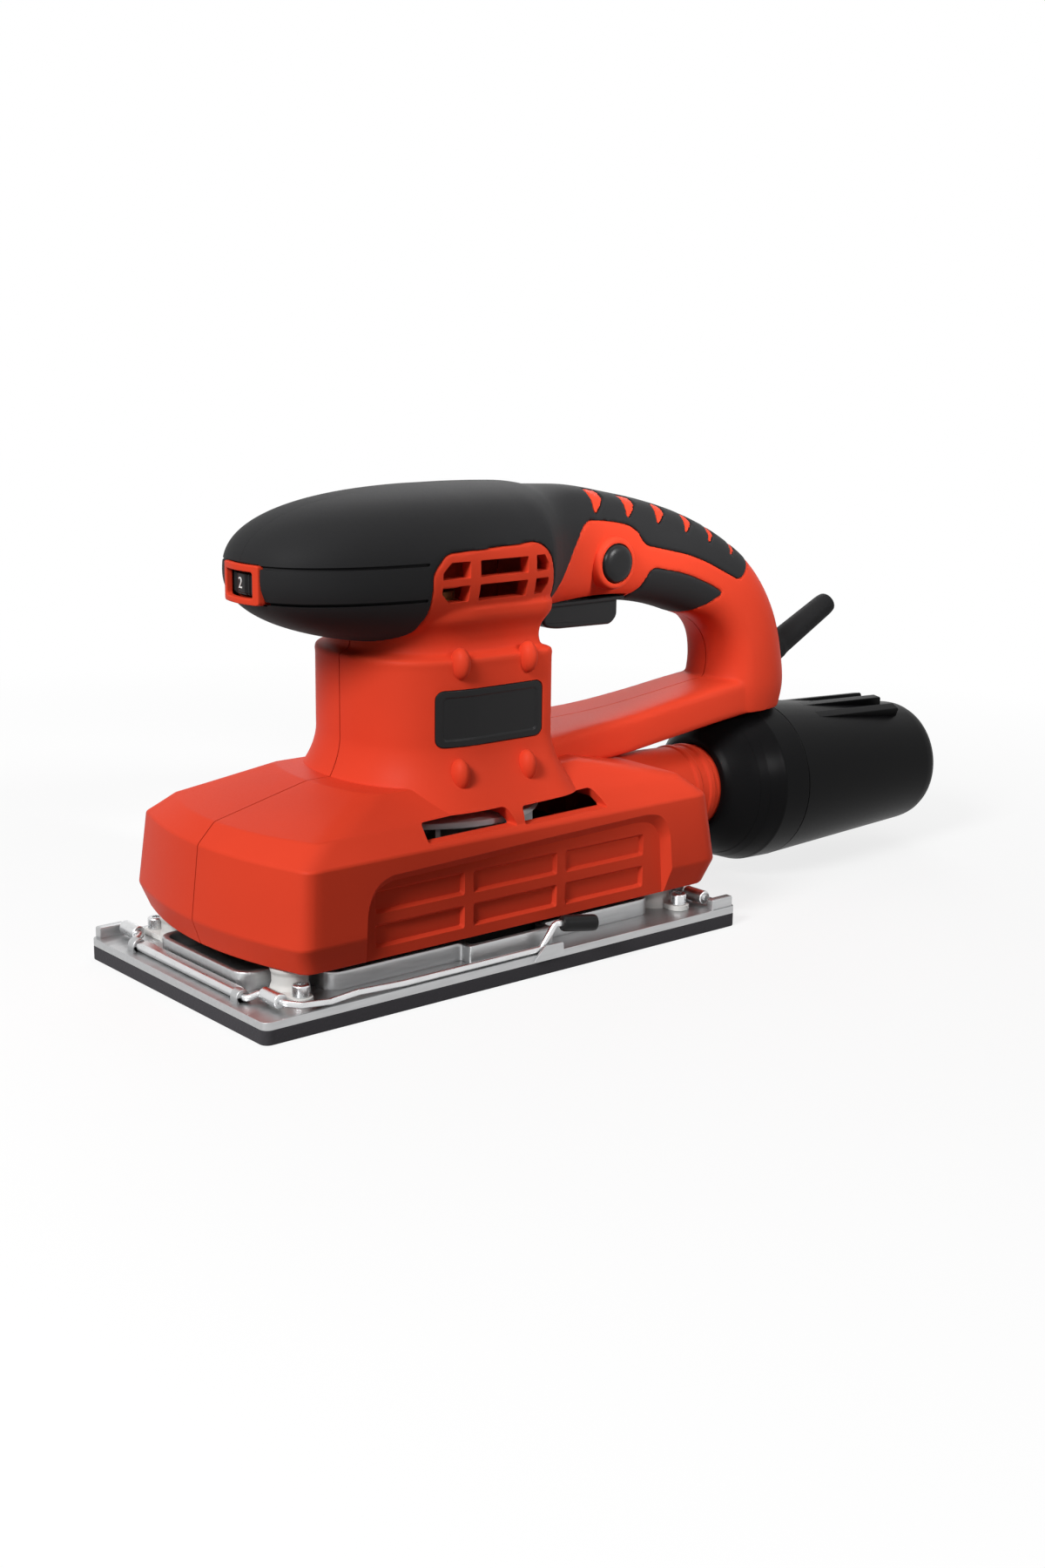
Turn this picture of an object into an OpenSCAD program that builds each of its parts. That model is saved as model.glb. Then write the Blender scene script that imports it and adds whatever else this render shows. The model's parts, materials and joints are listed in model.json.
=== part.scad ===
// Half-sheet orbital finishing sander with a palm head, a D-handle and a dust canister.
// Millimetres. The front points to -X, the left side to -Y, and Z is up.
// The origin is the centre of the sanding pad's underside.

/* [Sanding pad and platen] */
// Length of the pad, front to back
pad_l = 214; // [210:1:226]
// Width of the pad, made for half a standard sheet
pad_w = 115; // [113:1:121]
// Thickness of the rubber pad
pad_t = 5; // [3:0.5:8]
// Thickness of the aluminium plate
plate_t = 3; // [2.5:0.5:5]
// Height of the walls on the plate
wall_h = 6.5; // [4:0.5:7]
// Radius of the circle in which the platen orbits
orbit_r = 1; // [0.5:0.1:1.2]
// Radius of the dust holes through pad and plate
dust_hole_r = 5; // [3:0.5:6]

/* [Paper clamps] */
// Radius of the clamp wire
wire_r = 1.2; // [1:0.1:1.4]
// Running gap between the clamp wire and its lugs
wire_gap = 0.08; // [0.04:0.01:0.1]
// Length of the lever's finger sleeve
sleeve_l = 13; // [10:0.5:15]
// Radius of the lever's finger sleeve
sleeve_r = 2.8; // [2.2:0.1:3.2]

/* [Housing] */
// Half width of the skirt at its widest
skirt_w = 53; // [51:0.5:53.5]
// Radius of the round front of the neck
neck_r = 37; // [36:0.5:39]
// Length of the neck behind the motor axis
neck_back = 33; // [31:0.5:36]
// Half width of the palm head
head_w = 39; // [37.5:0.5:41]
// Height of the palm head above its widest line
head_up = 26.5; // [25:0.5:27.5]
// Half width of the D-handle
bar_w = 17; // [16:0.5:18.5]
// Thickness of the soft grip over the housing
grip_t = 2.2; // [1.5:0.1:2.6]

/* [Motor] */
// Radius of the motor shaft
shaft_r = 4; // [3.5:0.1:4.5]
// Outer radius of the stator
stator_r = 30; // [28:0.5:30]
// Radius of the armature
armature_r = 17; // [15:0.5:17]
// Radius of the fan
fan_r = 42; // [36:1:43]
// Blades on the fan
fan_blades = 9; // [5:1:13]
// Running gap between shafts and bearings
run_gap = 0.02; // [0.01:0.01:0.05]

/* [Controls] */
// Radius of the speed dial
dial_r = 16; // [14:0.5:16.5]
// Radius of the lock-on button
button_r = 7.3; // [6:0.1:8]
// Travel of the lock-on button
button_travel = 3; // [2:0.5:3.5]
// Travel of the trigger
trigger_travel = 5; // [3:0.5:6]
// Width of the trigger
trigger_w = 17; // [14:0.5:18]

/* [Dust canister] */
// Outer radius of the dust spigot
spigot_r = 17; // [15:0.5:18]
// Radius of the canister at its front shoulder
can_r1 = 33; // [31:0.5:34]
// Radius of the canister at its rear end
can_r2 = 25.5; // [24:0.5:28]
// Length of the canister behind its seam
can_l = 91; // [80:1:110]
// Thickness of the canister's wall
can_t = 2; // [1.5:0.1:3]

/* [Hidden] */
$fn = 48;
// Levels: the body is drawn for a deck at 8 and rises with the plate
deck = pad_t + plate_t;
lift = deck - 8;
half_l = pad_l / 2;
half_w = pad_w / 2;
// Clearance between pieces that do not move on each other
fit = 0.2;
// Clearance between pieces that slide on each other
slide = 0.3;
// Clamp wire: the axle along the front edge, the crank behind it, the arm along the side edge
axle_x = half_l - 5.7;
axle_z = deck + 1.8;
crank_x = axle_x - 5;
crank_z = axle_z + 1.5;
arm_y = half_w - 1.7;
arm_z = deck + wire_r + 0.1;
lug_y = 34;
jaw_w = 2 * (lug_y - 2.5);
knuckle_y = 41;
knuckle_l = 10;
knuckle_r = 2.6;
tab_t = 0.8;
// Skirt levels: height, half width, front middle, front corner, rear
SKIRT = [
  [17.5, skirt_w - 2.5, 11.5 - half_l, 19 - half_l, half_l - 12],
  [27, skirt_w, 9.5 - half_l, 17.5 - half_l, half_l - 9],
  [53, skirt_w - 0.5, 12.5 - half_l, 21 - half_l, half_l - 14],
  [60, skirt_w - 8, 19 - half_l, 28 - half_l, half_l - 21],
  [65, skirt_w - 15, 39 - half_l, 45 - half_l, half_l - 41]];
// Share by which the skirt is longer or shorter than drawn
stretch = half_l / 107;
// Head: middle of the dome, its nose, its widest height
head_x = 8;
head_l = 85;
nose_x = head_x - head_l;
belt_z = 143;
head_dn = 28;
// Handle rows: x, z, tilt, half width added to the bar, up, down
BAR = [
  [20, belt_z, 0, head_w - 0.5, head_up - 0.2, head_dn - 1],
  [30, belt_z, 0, head_w - 2.5, head_up - 0.5, head_dn - 3],
  [37, belt_z, 1, head_w - 8, head_up - 0.9, 23.5],
  [44, 143.2, 2, bar_w + 8.5, 24, 22.5],
  [52, 143.4, 3, bar_w + 4, 23.3, 22],
  [62, 143.5, 5, bar_w + 1.8, 22.6, 22],
  [80, 142, 9, bar_w + 0.6, 20.8, 21],
  [98, 138.5, 14, bar_w, 20.3, 20],
  [115, 133.5, 21, bar_w, 20, 19],
  [131, 126.5, 32, bar_w, 19.8, 17.5],
  [144.5, 117, 50, bar_w + 0.2, 20, 16],
  [152.5, 104.5, 72, bar_w + 0.5, 20.5, 17],
  [155, 92, 86, bar_w + 1, 21.5, 18.5],
  [156, 80, 90, bar_w + 1.3, 21.5, 19.5],
  [156, 71, 90, bar_w + 0.5, 20, 18]];
// Lower bar rows: x, z, half width, half height
LOW = [
  [18, 68, 30, 10],
  [40, 68.5, 25, 8.5],
  [60, 69.5, 21.5, 8],
  [85, 70.5, 19, 8],
  [110, 73, bar_w + 0.5, 8],
  [135, 76, bar_w + 0.3, 8],
  [160, 78.5, bar_w, 8]];
// Neck rows: height and growth of the plan
NECK = [[52, 15], [58, 12.4], [63, 8.5], [68, 5], [73, 2.3], [78, 0.5], [81.5, 0], [111.5, 0], [112.8, -0.8],
  [115.5, -3.6], [118.5, -4.6], [121.5, -3.8], [126, -0.6], [130, 0]];
// Side view of the soft grip and of the finger pad under the bar
GRIP = [[-120, 190], [-120, 100], [-45, 100], [-27, 114], [-21, 123], [-18.5, 131], [-18.5, 143],
  [-13, 149.5], [22, 151.5], [28, 147.5], [31, 139], [33, 131], [39, 127.5], [45, 133], [61, 154.5],
  [78, 153], [88, 150], [92.5, 143], [103.5, 140.7], [120.5, 136.7], [136, 129.7], [144.4, 125.6],
  [151.3, 129.8], [170, 150], [170, 190]];
FINGER = [[97, 134.2], [115, 130.5], [130.3, 124.3], [135.1, 121.4], [133, 112], [131, 95], [80, 95],
  [89.7, 123.6], [92.9, 125.8], [94.9, 131.3]];
// Windows in the grip: x, z, height
WINDOWS = [[71.5, 161.5, 9.5], [88.5, 158.2, 8.5], [104.5, 154, 7.2], [119.5, 149.2, 6.2],
  [132.5, 144, 5.2], [145, 137.5, 4.2]];
// Housing screws: x, z
SCREWS = [[-22, 67], [22, 67], [105, 128], [150, 110], [156, 79], [46, 152]];
// Legs: place and radius
leg_x = half_l - 24;
leg_y = half_w - 21.5;
leg_r = 6.8;
leg_top = 17.5;
// Levels of the motor
z_low_brg = 64;
z_stator = 76;
stator_h = 36;
yoke_t = 6;
air_gap = 0.7;
z_brush = 126;
z_up_brg = 138;
z_hub = 11;
z_fan = 41;
fan_h = 15;
hub_r = 14;
pin_r = 6;
shroud_z = 33;
// Fan shroud and the seal under it
shroud_l = 2 * (leg_x - leg_r - 3.2);
seal_l = shroud_l - 4;
shroud_w = 2 * (half_w - 12.5);
seal_w = shroud_w - 8;
trigger_x = 49.5;
dial_x = nose_x + 19.5;
dial_z = 136.4;
dial_h = 7.5;
spindle_r = 2.5;
// Dust line: a point on its axis and its tilt
dust_x = half_l - 9;
dust_z = 41.5;
dust_tilt = 2.6;
cap_s = 39;
seam_s = 75;
rib_s = 97;
rib_w = 4;
// Outer radius of the canister's body at a distance along the dust line
function body_r(q) = can_r1 - 0.3 + (can_r2 + 0.9 - can_r1) * (q - seam_s) / (can_l - 6);

// Power that keeps the sign
function spow(v, e) = sign(v) * pow(abs(v), e);
function dome(s, p) = pow(max(0, 1 - pow(s, p)), 1 / p);
// Points of a rounded section: half width, height up, height down, roundness
function section(n, w, up, dn, e) = [for (i = [0:n - 1]) let(a = 360 * i / n)
  [w * spow(cos(a), 2 / e), (sin(a) > 0 ? up : dn) * spow(sin(a), 2 / e)]];
// Rows of the head and bar, shrunk by g
function head_rows(g) = [for (k = [0:8]) let(s = cos(90 * (k + 0.3) / 9))
  [head_x - (head_l - g) * s, belt_z, 0, (head_w - g) * dome(s, 2.6), (head_up - g) * dome(s, 2.5),
    (head_dn - g) * dome(s, 2.3)]];
function bar_rows(g) = [for (r = BAR) [r[0], r[1], r[2], r[3] - g, r[4] - g, r[5] - g]];
function place(r, q) = [r[0] + q[1] * sin(r[2]), q[0], r[1] + q[1] * cos(r[2])];
function top_rings(g, n = 20) = [for (r = concat(head_rows(g), bar_rows(g)))
  [for (q = section(n, r[3], r[4], r[5], 2.35)) place(r, q)]];
function low_rings() =
  [for (r = LOW) [for (q = section(20, r[2], r[3], r[3], 3.2)) [r[0], q[0], r[1] + q[1]]]];
// Plan of the neck, grown by g
function neck_plan(g) = concat(
  [for (i = [0:16]) let(a = 90 + 180 * i / 16) [(neck_r + g) * cos(a), (neck_r + g) * sin(a)]],
  [for (i = [0:4]) let(a = -90 + 90 * i / 4)
    [neck_back - 7 + (7 + g) * cos(a), 7 - neck_r + (7 + g) * sin(a)]],
  [for (i = [0:4]) let(a = 90 * i / 4) [neck_back - 7 + (7 + g) * cos(a), neck_r - 7 + (7 + g) * sin(a)]]);
// Plan of the skirt for a level row, shrunk by g
function skirt_plan(r, g) = let(w = r[1] - g, c = r[3] + g, m = r[2] + g, b = r[4] - g, k = 9) concat(
  [for (i = [-4:4]) let(t = i / 4) [m + (c - m) * t * t, -t * (w - k)]],
  [for (i = [1:3]) let(a = 30 * i) [c + k * (1 - cos(a)), -(w - k) - k * sin(a)]],
  [for (i = [1:3]) let(a = 30 * i) [b - k + k * sin(a), -w + k * (1 - cos(a))]],
  [for (i = [0:2]) let(a = 30 * i) [b - k + k * cos(a), w - k + k * sin(a)]],
  [for (i = [0:2]) let(a = 30 * i) [c + k - k * sin(a), w - k + k * cos(a)]]);

// Solid through a row of rings with equal counts of points
module loft(rings) {
  n = len(rings[0]);
  m = len(rings);
  pts = [for (r = rings) each r];
  sides = [for (j = [0:m - 2], i = [0:n - 1]) let(a = j * n + i, b = j * n + (i + 1) % n) each
    [[a, b + n, b], [a, a + n, b + n]]];
  polyhedron(pts, concat([[for (i = [0:n - 1]) i]], sides, [[for (i = [n - 1:-1:0]) (m - 1) * n + i]]));
}

// Rounded rectangle
module plate2(l, w, r) {
  square([l - 2 * r, w], center = true);
  square([l, w - 2 * r], center = true);
  for (sx = [-1, 1], sy = [-1, 1])
    translate([sx * (l / 2 - r), sy * (w / 2 - r)])
      circle(r);
}

// Side view shape carried through the tool from y0 to y1
module side(y0, y1) {
  translate([0, y1, 0])
    rotate([90, 0, 0])
      linear_extrude(y1 - y0)
        children();
}

// Ring about the Z axis
module ring(r0, r1, z0, z1) {
  translate([0, 0, z0])
    difference() {
      cylinder(h = z1 - z0, r = r1);
      translate([0, 0, -1])
        cylinder(h = z1 - z0 + 2, r = r0);
    }
}

// Sector of a ring about the Z axis, from angle a0 over the angle aw
module sector(r0, r1, z0, z1, a0, aw) {
  translate([0, 0, z0])
    rotate([0, 0, a0])
      rotate_extrude(angle = aw)
        translate([r0, 0])
          square([r1 - r0, z1 - z0]);
}

// Flat sector of a ring between the angles a0 and a1
module arc2(r0, r1, a0, a1) {
  intersection() {
    difference() {
      circle(r1);
      circle(r0);
    }
    polygon(concat([[0, 0]], [for (i = [0:4]) let(a = a0 + (a1 - a0) * i / 4) 3 * r1 * [cos(a), sin(a)]]));
  }
}

// Half of space: s = -1 is the left side
module half(s) {
  translate([-300, s < 0 ? -200 : 0, -50])
    cube([800, 200, 400]);
}

// Teardrop windows on both sides of the bar
module windows() {
  for (w = WINDOWS, s = [-1, 1])
    hull() {
      translate([w[0], s * 4.5, w[1] + w[2] * 0.22])
        rotate([90 * s, 0, 0])
          cylinder(h = 30, r = w[2] * 0.27, $fn = 14);
      translate([w[0] + 1.2, s * 4.5, w[1] - w[2] * 0.42])
        rotate([90 * s, 0, 0])
          cylinder(h = 30, r = w[2] * 0.08, $fn = 8);
    }
}

// Room of the soft grip, both sides
module grip_room() {
  difference() {
    side(-80, 80)
      polygon(GRIP);
    windows();
  }
  side(-80, 80)
    polygon(FINGER);
}

// Skirt, shrunk by g, between two heights
module skirt(g, z0) {
  hull()
    for (r = SKIRT)
      translate([0, 0, max(z0, r[0] - g)])
        linear_extrude(0.01)
          polygon(skirt_plan(r, g));
}

// Pocket in the nose for the bezel, grown by g
module bezel_block(g) {
  difference() {
    translate([nose_x + 27.2, 0, dial_z - 2.8 - g])
      cylinder(h = dial_h + 6.1 + 2 * g, r = 28.2, $fn = 64);
    translate([nose_x + 27.2, 0, dial_z - 6])
      cylinder(h = dial_h + 12, r = 24.6 - g, $fn = 64);
    translate([nose_x + 7 + g, -40, dial_z - 12])
      cube([80, 80, 40]);
    for (s = [-1, 1])
      translate([nose_x - 13, s > 0 ? 10.5 + g : -50.5 - g, dial_z - 12])
        cube([60, 40, 40]);
  }
}

// Neck between the skirt and the head
module neck() {
  loft([for (r = NECK) [for (q = neck_plan(r[1])) [q[0], q[1], r[0]]]]);
}

// Outer side of the housing without its hollows
module housing_solid() {
  skirt(0, 0);
  neck();
  difference() {
    loft(top_rings(0));
    grip_room();
  }
  loft(top_rings(grip_t));
  loft(low_rings());
  // Upright lugs on the sides of the neck: x, distance from the neck's radius, middle height
  for (q = [[-11, -1.9, 111.2], [18, -0.3, 111], [-13, 0.7, 72.6], [16, 2.2, 72.3]], s = [-1, 1])
    hull()
      for (d = [-2, 2])
        translate([q[0], s * (neck_r + q[1] - 1.2), q[2] + d])
          sphere(r = 3.3, $fn = 8);
}

// Hollows of the housing that both halves share
module housing_hollows() {
  // Skirt
  difference() {
    hull()
      for (i = [0:3])
        translate([0, 0, i == 0 ? 10 : SKIRT[i][0] - 3.5])
          linear_extrude(3.5)
            polygon(skirt_plan(SKIRT[i], 5.5));
    // Seats of the legs and of the fan shroud
    for (sx = [-1, 1], sy = [-1, 1]) {
      translate([sx * leg_x, sy * leg_y, leg_top])
        cylinder(h = 50, r = leg_r + 2, $fn = 20);
      translate([sx * (leg_x - 23) - 4, sy > 0 ? shroud_w / 2 - 4 : -shroud_w / 2 - 6, shroud_z + 2])
        cube([8, 10, 30]);
    }
  }
  // Motor
  translate([0, 0, 50])
    cylinder(h = 30, r = 6.5, $fn = 20);
  translate([0, 0, z_low_brg])
    cylinder(h = 20, r = 13 + fit, $fn = 32);
  translate([0, 0, 73])
    cylinder(h = 4, r = stator_r - 3, $fn = 36);
  translate([0, 0, z_stator])
    cylinder(h = stator_h + 1, r = stator_r + 0.4, $fn = 36);
  difference() {
    union() {
      translate([0, 0, 112])
        cylinder(h = 19, r = 27.5, $fn = 32);
      intersection() {
        loft(top_rings(grip_t + 2.6, 16));
        translate([nose_x + 23, -60, 119])
          cube([34 - nose_x - 23, 120, 60]);
      }
    }
    // Tower of the upper bearing
    translate([0, 0, 134])
      cylinder(h = 60, r = 15, $fn = 24);
    // Shelves of the brush holders
    for (s = [-1, 1])
      translate([-6, s > 0 ? 20 : -40, 118.5])
        cube([12, 20, z_brush - 3.7 - 118.5]);
  }
  translate([0, 0, 130])
    cylinder(h = 20, r = 5.5, $fn = 20);
  translate([0, 0, z_up_brg])
    cylinder(h = 10, r = 11 + fit, $fn = 28);
  // Speed dial and its module
  translate([dial_x, 0, dial_z - slide])
    cylinder(h = dial_h + 2 * slide, r = dial_r + 0.6, $fn = 40);
  translate([dial_x - 7.5, -13, dial_z - 4.4])
    cube([24, 26, 12]);
  bezel_block(0.05);
  translate([nose_x - 13, -8.2, dial_z - 1.2])
    cube([30, 16.4, dial_h + 2.4]);
  // Switch and trigger
  translate([50 - fit, -9 - fit, 129.5 - fit])
    cube([40 + 2 * fit, 18 + 2 * fit, 20 + 2 * fit]);
  translate([trigger_x - slide, -trigger_w / 2 - slide, 100])
    cube([34 + 2 * slide, trigger_w + 2 * slide, 22.5]);
  translate([trigger_x - 2, -trigger_w / 2 - 2.5, 122])
    cube([38, trigger_w + 5, 8]);
  // Cord guard
  translate([166, 0, 84])
    rotate([0, 63, 0]) {
      cylinder(h = 40, r = 5.8 + fit, $fn = 24);
      translate([0, 0, -2])
        cylinder(h = 6, r = 8 + fit, $fn = 24);
    }
  // Dust spigot
  dust_line() {
    translate([0, 0, -12])
      cylinder(h = 40, r = spigot_r + fit, $fn = 36);
    translate([0, 0, -30])
      cylinder(h = 22, r = spigot_r + 3 + fit, $fn = 36);
    translate([0, 0, cap_s + 6])
      cylinder(h = 80, r = can_r1 + 1.2, $fn = 48);
  }
  // Screws
  for (q = SCREWS) {
    side(-12, 80)
      translate([q[0], q[1]])
        circle(r = 1.8, $fn = 8);
    side(12, 80)
      translate([q[0], q[1]])
        circle(r = 3.7, $fn = 10);
  }
}

// Openings in the side of the housing
module housing_side(s) {
  mirror([0, s > 0 ? 1 : 0, 0]) {
    // Air slots of the fan room
    for (x = [-36.5, 6])
      hull()
        for (d = [[0, 56.2], [2.6, 60.2], [37, 56.6], [39, 61.2]])
          translate([(x + d[0]) * stretch, -60, d[1] - 0.6])
            cube([0.6, 25, 0.6]);
    // Sunk panel with six pockets
    hull()
      for (d = [[-61, 12], [-58, 38], [-50, 45.5], [66, 48.5], [74, 44], [77, 12]])
        translate([d[0] * stretch, -60, d[1]])
          rotate([-90, 0, 0])
            cylinder(h = 60 - skirt_w + 2, r1 = 1.5, r2 = 0.3, $fn = 8);
    for (i = [0:2], j = [0, 1])
      hull()
        for (sx = [0, 1], sz = [0, 1])
          translate([(-47 + 37 * i + 31 * sx) * stretch, -60, 22.5 + 12.2 * j + 8.6 * sz])
            rotate([-90, 0, 0])
              cylinder(h = 60 - skirt_w + 3.4, r = 0.8, $fn = 4);
    // Air vents of the head
    for (j = [0, 1]) {
      z = 133.2 + 7.8 * j;
      cut = j == 0 ? -1 : 1;
      side(-60, -24)
        polygon([[-15, z + (cut < 0 ? 3 : 0)], [-12, z], [-3, z], [-3, z + 5.4], [-12, z + 5.4],
          [-15, z + (cut < 0 ? 5.4 : 2.4)]]);
      side(-60, -24)
        polygon([[-0.5, z], [16, z], [16, z + 5.4], [-0.5, z + 5.4]]);
      side(-60, -24)
        polygon([[18.5, z], [25, z], [27, z + (cut < 0 ? 3 : 0)], [27, z + (cut < 0 ? 5.4 : 2.4)],
          [25, z + 5.4], [18.5, z + 5.4]]);
    }
  }
}

// One half of the housing: s = -1 is the left one
module housing_half(s) {
  intersection() {
    difference() {
      housing_solid();
      housing_hollows();
      housing_side(s);
    }
    half(s);
  }
}

module housing_left() {
  color("#d8432b")
    difference() {
      union() {
        housing_half(-1);
        intersection() {
          translate([75, -14, 137.8])
            rotate([90, 0, 0])
              cylinder(h = 6.4, r = button_r + 2.6, $fn = 32);
          half(-1);
        }
      }
      translate([75, -9, 137.8])
        rotate([90, 0, 0])
          cylinder(h = 40, r = button_r + slide, $fn = 32);
      badge_shape(neck_r - 1, neck_r + 4, fit);
    }
}

module housing_right() {
  color("#d8432b")
    housing_half(1);
}

// One half of the soft grip
module grip_half(s) {
  difference() {
    intersection() {
      difference() {
        loft(top_rings(0));
        loft(top_rings(grip_t));
      }
      grip_room();
      half(s);
    }
    neck();
    bezel_block(0.05);
    translate([nose_x - 13, -8.2, dial_z - 1.2])
      cube([30, 16.4, dial_h + 2.4]);
    translate([75, -9.5, 137.8])
      rotate([90, 0, 0])
        cylinder(h = 40, r = button_r + 2.8, $fn = 32);
    for (q = SCREWS)
      side(12, 80)
        translate([q[0], q[1]])
          circle(r = 3.7, $fn = 10);
  }
}

module soft_grip_left() {
  color("#2b2b2d")
    grip_half(-1);
}

module soft_grip_right() {
  color("#2b2b2d")
    grip_half(1);
}

// Red frame in the nose with the window of the speed dial
module dial_bezel() {
  color("#d8432b")
    difference() {
      bezel_block(0);
      translate([nose_x - 13, -8, dial_z - 0.8])
        cube([30, 16, dial_h + 1.6]);
      translate([dial_x, 0, 100])
        cylinder(h = 80, r = dial_r + 0.6);
    }
}

// Plate that follows the left side of the neck between two radii, grown by g
module badge_shape(r0, r1, g) {
  intersection() {
    translate([0, 0, 70])
      linear_extrude(40)
        difference() {
          union() {
            circle(r1);
            translate([0, -r1])
              square([30, 20]);
          }
          circle(r0);
          translate([0, -r0])
            square([40, 80]);
        }
    side(-60, -20)
      translate([2.5, 92])
        plate2(45 + 2 * g, 20 + 2 * g, 3 + g);
  }
}

// Bare plate sunk into the left side of the neck
module badge_plate() {
  color("#1c1c1e")
    badge_shape(neck_r - 1 + 0.01, neck_r - 0.2, 0);
}

// Rubber guard of the cord's entry, with a blind bore
module cord_guard() {
  color("#1c1c1e")
    translate([166, 0, 84])
      rotate([0, 63, 0])
        difference() {
          union() {
            cylinder(h = 4, r = 8);
            cylinder(h = 20, r = 5.8);
            translate([0, 0, 20])
              cylinder(h = 34, r1 = 5.4, r2 = 4.6);
            translate([0, 0, 54])
              cylinder(h = 1.5, r1 = 4.6, r2 = 3.9);
          }
          translate([0, 0, 6])
            cylinder(h = 60, r = 3.2);
        }
}

// Screws of the housing, heads on the right side
module housing_screws() {
  color("#8a8d91")
    for (q = SCREWS)
      translate([q[0], 0, q[1]])
        rotate([-90, 0, 0]) {
          translate([0, 0, -11])
            cylinder(h = 23, r = 1.6);
          translate([0, 0, 12])
            difference() {
              cylinder(h = 2.6, r = 3.4);
              translate([0, 0, 1.4])
                cylinder(h = 3, r = 1.6, $fn = 6);
            }
        }
}

// Frame of the dust line: its Z axis is the axis of spigot and canister
module dust_line() {
  translate([dust_x, 0, dust_z])
    rotate([0, 90 + dust_tilt, 0])
      children();
}

module dust_spigot() {
  color("#d8432b")
    dust_line()
      rotate_extrude()
        polygon([[spigot_r - 2.5, -12], [spigot_r + 3, -12], [spigot_r + 3, -8.5], [spigot_r, -8.5],
          [spigot_r, 26], [spigot_r + 0.7, 26.6], [spigot_r + 0.7, 29], [spigot_r, 29.6], [spigot_r, 33],
          [spigot_r + 0.7, 33.6], [spigot_r + 0.7, 36], [spigot_r, 36.6], [spigot_r, 56],
          [spigot_r - 1, 57], [spigot_r - 2.5, 57]]);
}

// Plate under the fan
module fan_shroud() {
  color("#242426")
    translate([0, 0, shroud_z])
      linear_extrude(2)
        difference() {
          plate2(shroud_l, shroud_w, 6);
          circle(fan_r - 11);
        }
}

// Stack of steel sheets with two pole shoes round the armature
module stator() {
  color("#8b9096")
    translate([0, 0, z_stator])
      linear_extrude(stator_h)
        difference() {
          circle(stator_r);
          circle(armature_r + air_gap);
          for (a = [90, 270])
            arc2(armature_r - 2, stator_r - yoke_t, a - 44, a + 44);
        }
}

// Two coils that loop round the pole shoes
module field_coils() {
  color("#b06a35")
    for (b = [0, 180])
      rotate([0, 0, b])
        difference() {
          translate([0, 0, z_stator - 3])
            linear_extrude(stator_h + 8.5)
              arc2(armature_r + air_gap + 0.8, stator_r - yoke_t - 0.4, -88, 88);
          translate([0, 0, z_stator - 0.3])
            linear_extrude(stator_h + 0.6)
              polygon([[0, 0], 50 * [cos(51), -sin(51)], 50 * [cos(51), sin(51)]]);
        }
}

// Ball bearing as one ring with sunk faces
module bearing(bore, outer, w) {
  rotate_extrude()
    polygon([[bore, 0], [bore + 1.5, 0], [bore + 1.8, 0.5], [outer - 1.8, 0.5], [outer - 1.5, 0], [outer, 0],
      [outer, w], [outer - 1.5, w], [outer - 1.8, w - 0.5], [bore + 1.8, w - 0.5],
      [bore + 1.5, w], [bore, w]]);
}

module lower_bearing() {
  color("#b9bec4")
    translate([0, 0, z_low_brg])
      bearing(shaft_r + 1, 13, 8);
}

module upper_bearing() {
  color("#b9bec4")
    translate([0, 0, z_up_brg])
      bearing(shaft_r, 11, 7);
}

module brush_holders() {
  color("#c9a13b")
    for (s = [-1, 1])
      translate([0, s > 0 ? 12 : -27, z_brush])
        difference() {
          translate([-4.2, 0, -3.7])
            cube([8.4, 15, 7.4]);
          translate([-3.2, -1, -2.7])
            cube([6.4, 17, 5.4]);
        }
}

module carbon_brushes() {
  color("#2f2f31")
    for (s = [-1, 1])
      translate([-3.1, s > 0 ? 11.1 : -22.1, z_brush - 2.6])
        cube([6.2, 11, 5.2]);
}

// Circuit board under the dial with the control's round body
module speed_module() {
  color("#3c6e47") {
    translate([dial_x - 7.3, -12.8, dial_z - 4.4])
      cube([23.6, 25.6, 2]);
    translate([dial_x, 0, dial_z - 2.4])
      cylinder(h = 2.4 - slide, r = 6.5);
    translate([dial_x, 0, dial_z - 2.4])
      cylinder(h = dial_h + 0.4, r = spindle_r);
  }
}

module switch_body() {
  color("#303034")
    translate([50, -9, 129.5])
      cube([40, 18, 20]);
}

module trigger() {
  color("#1d1d1f") {
    translate([trigger_x, 0, 0])
      side(-trigger_w / 2, trigger_w / 2)
        polygon([[0, 123.5], [0, 116], [1.5, 114.3], [6, 113.4], [26, 114.2], [31, 116.5], [34, 120],
          [34, 123.5]]);
    translate([trigger_x - 1.6, -trigger_w / 2 - 2, 122.2])
      cube([37.2, trigger_w + 4, 1.3]);
  }
}

module lock_button() {
  color("#1d1d1f")
    translate([75, 0, 137.8])
      rotate([90, 0, 0]) {
        translate([0, 0, 9.2 + button_travel])
          cylinder(h = 2, r = 3.5);
        translate([0, 0, 11 + button_travel])
          cylinder(h = 11.5 - button_travel, r = button_r);
      }
}

module speed_dial() {
  color("#3a3a3e")
    translate([dial_x, 0, dial_z])
      difference() {
        union() {
          cylinder(h = dial_h, r = dial_r - 0.5);
          for (a = [0:12:359])
            rotate([0, 0, a])
              translate([dial_r - 1.2, -0.7, 0])
                cube([1.2, 1.4, dial_h]);
        }
        translate([0, 0, dial_h - 1.5])
          cylinder(h = 3, r = dial_r - 4);
        translate([0, 0, -1])
          cylinder(h = dial_h, r = spindle_r + run_gap);
      }
}

module motor_shaft() {
  color("#c4c8cc")
    rotate_extrude()
      polygon([[0, 26], [shaft_r - run_gap, 26], [shaft_r - run_gap, 57], [shaft_r + 1 - run_gap, 57],
        [shaft_r + 1 - run_gap, 73], [shaft_r - run_gap, 73], [shaft_r - run_gap, 146], [0, 146]]);
}

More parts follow.
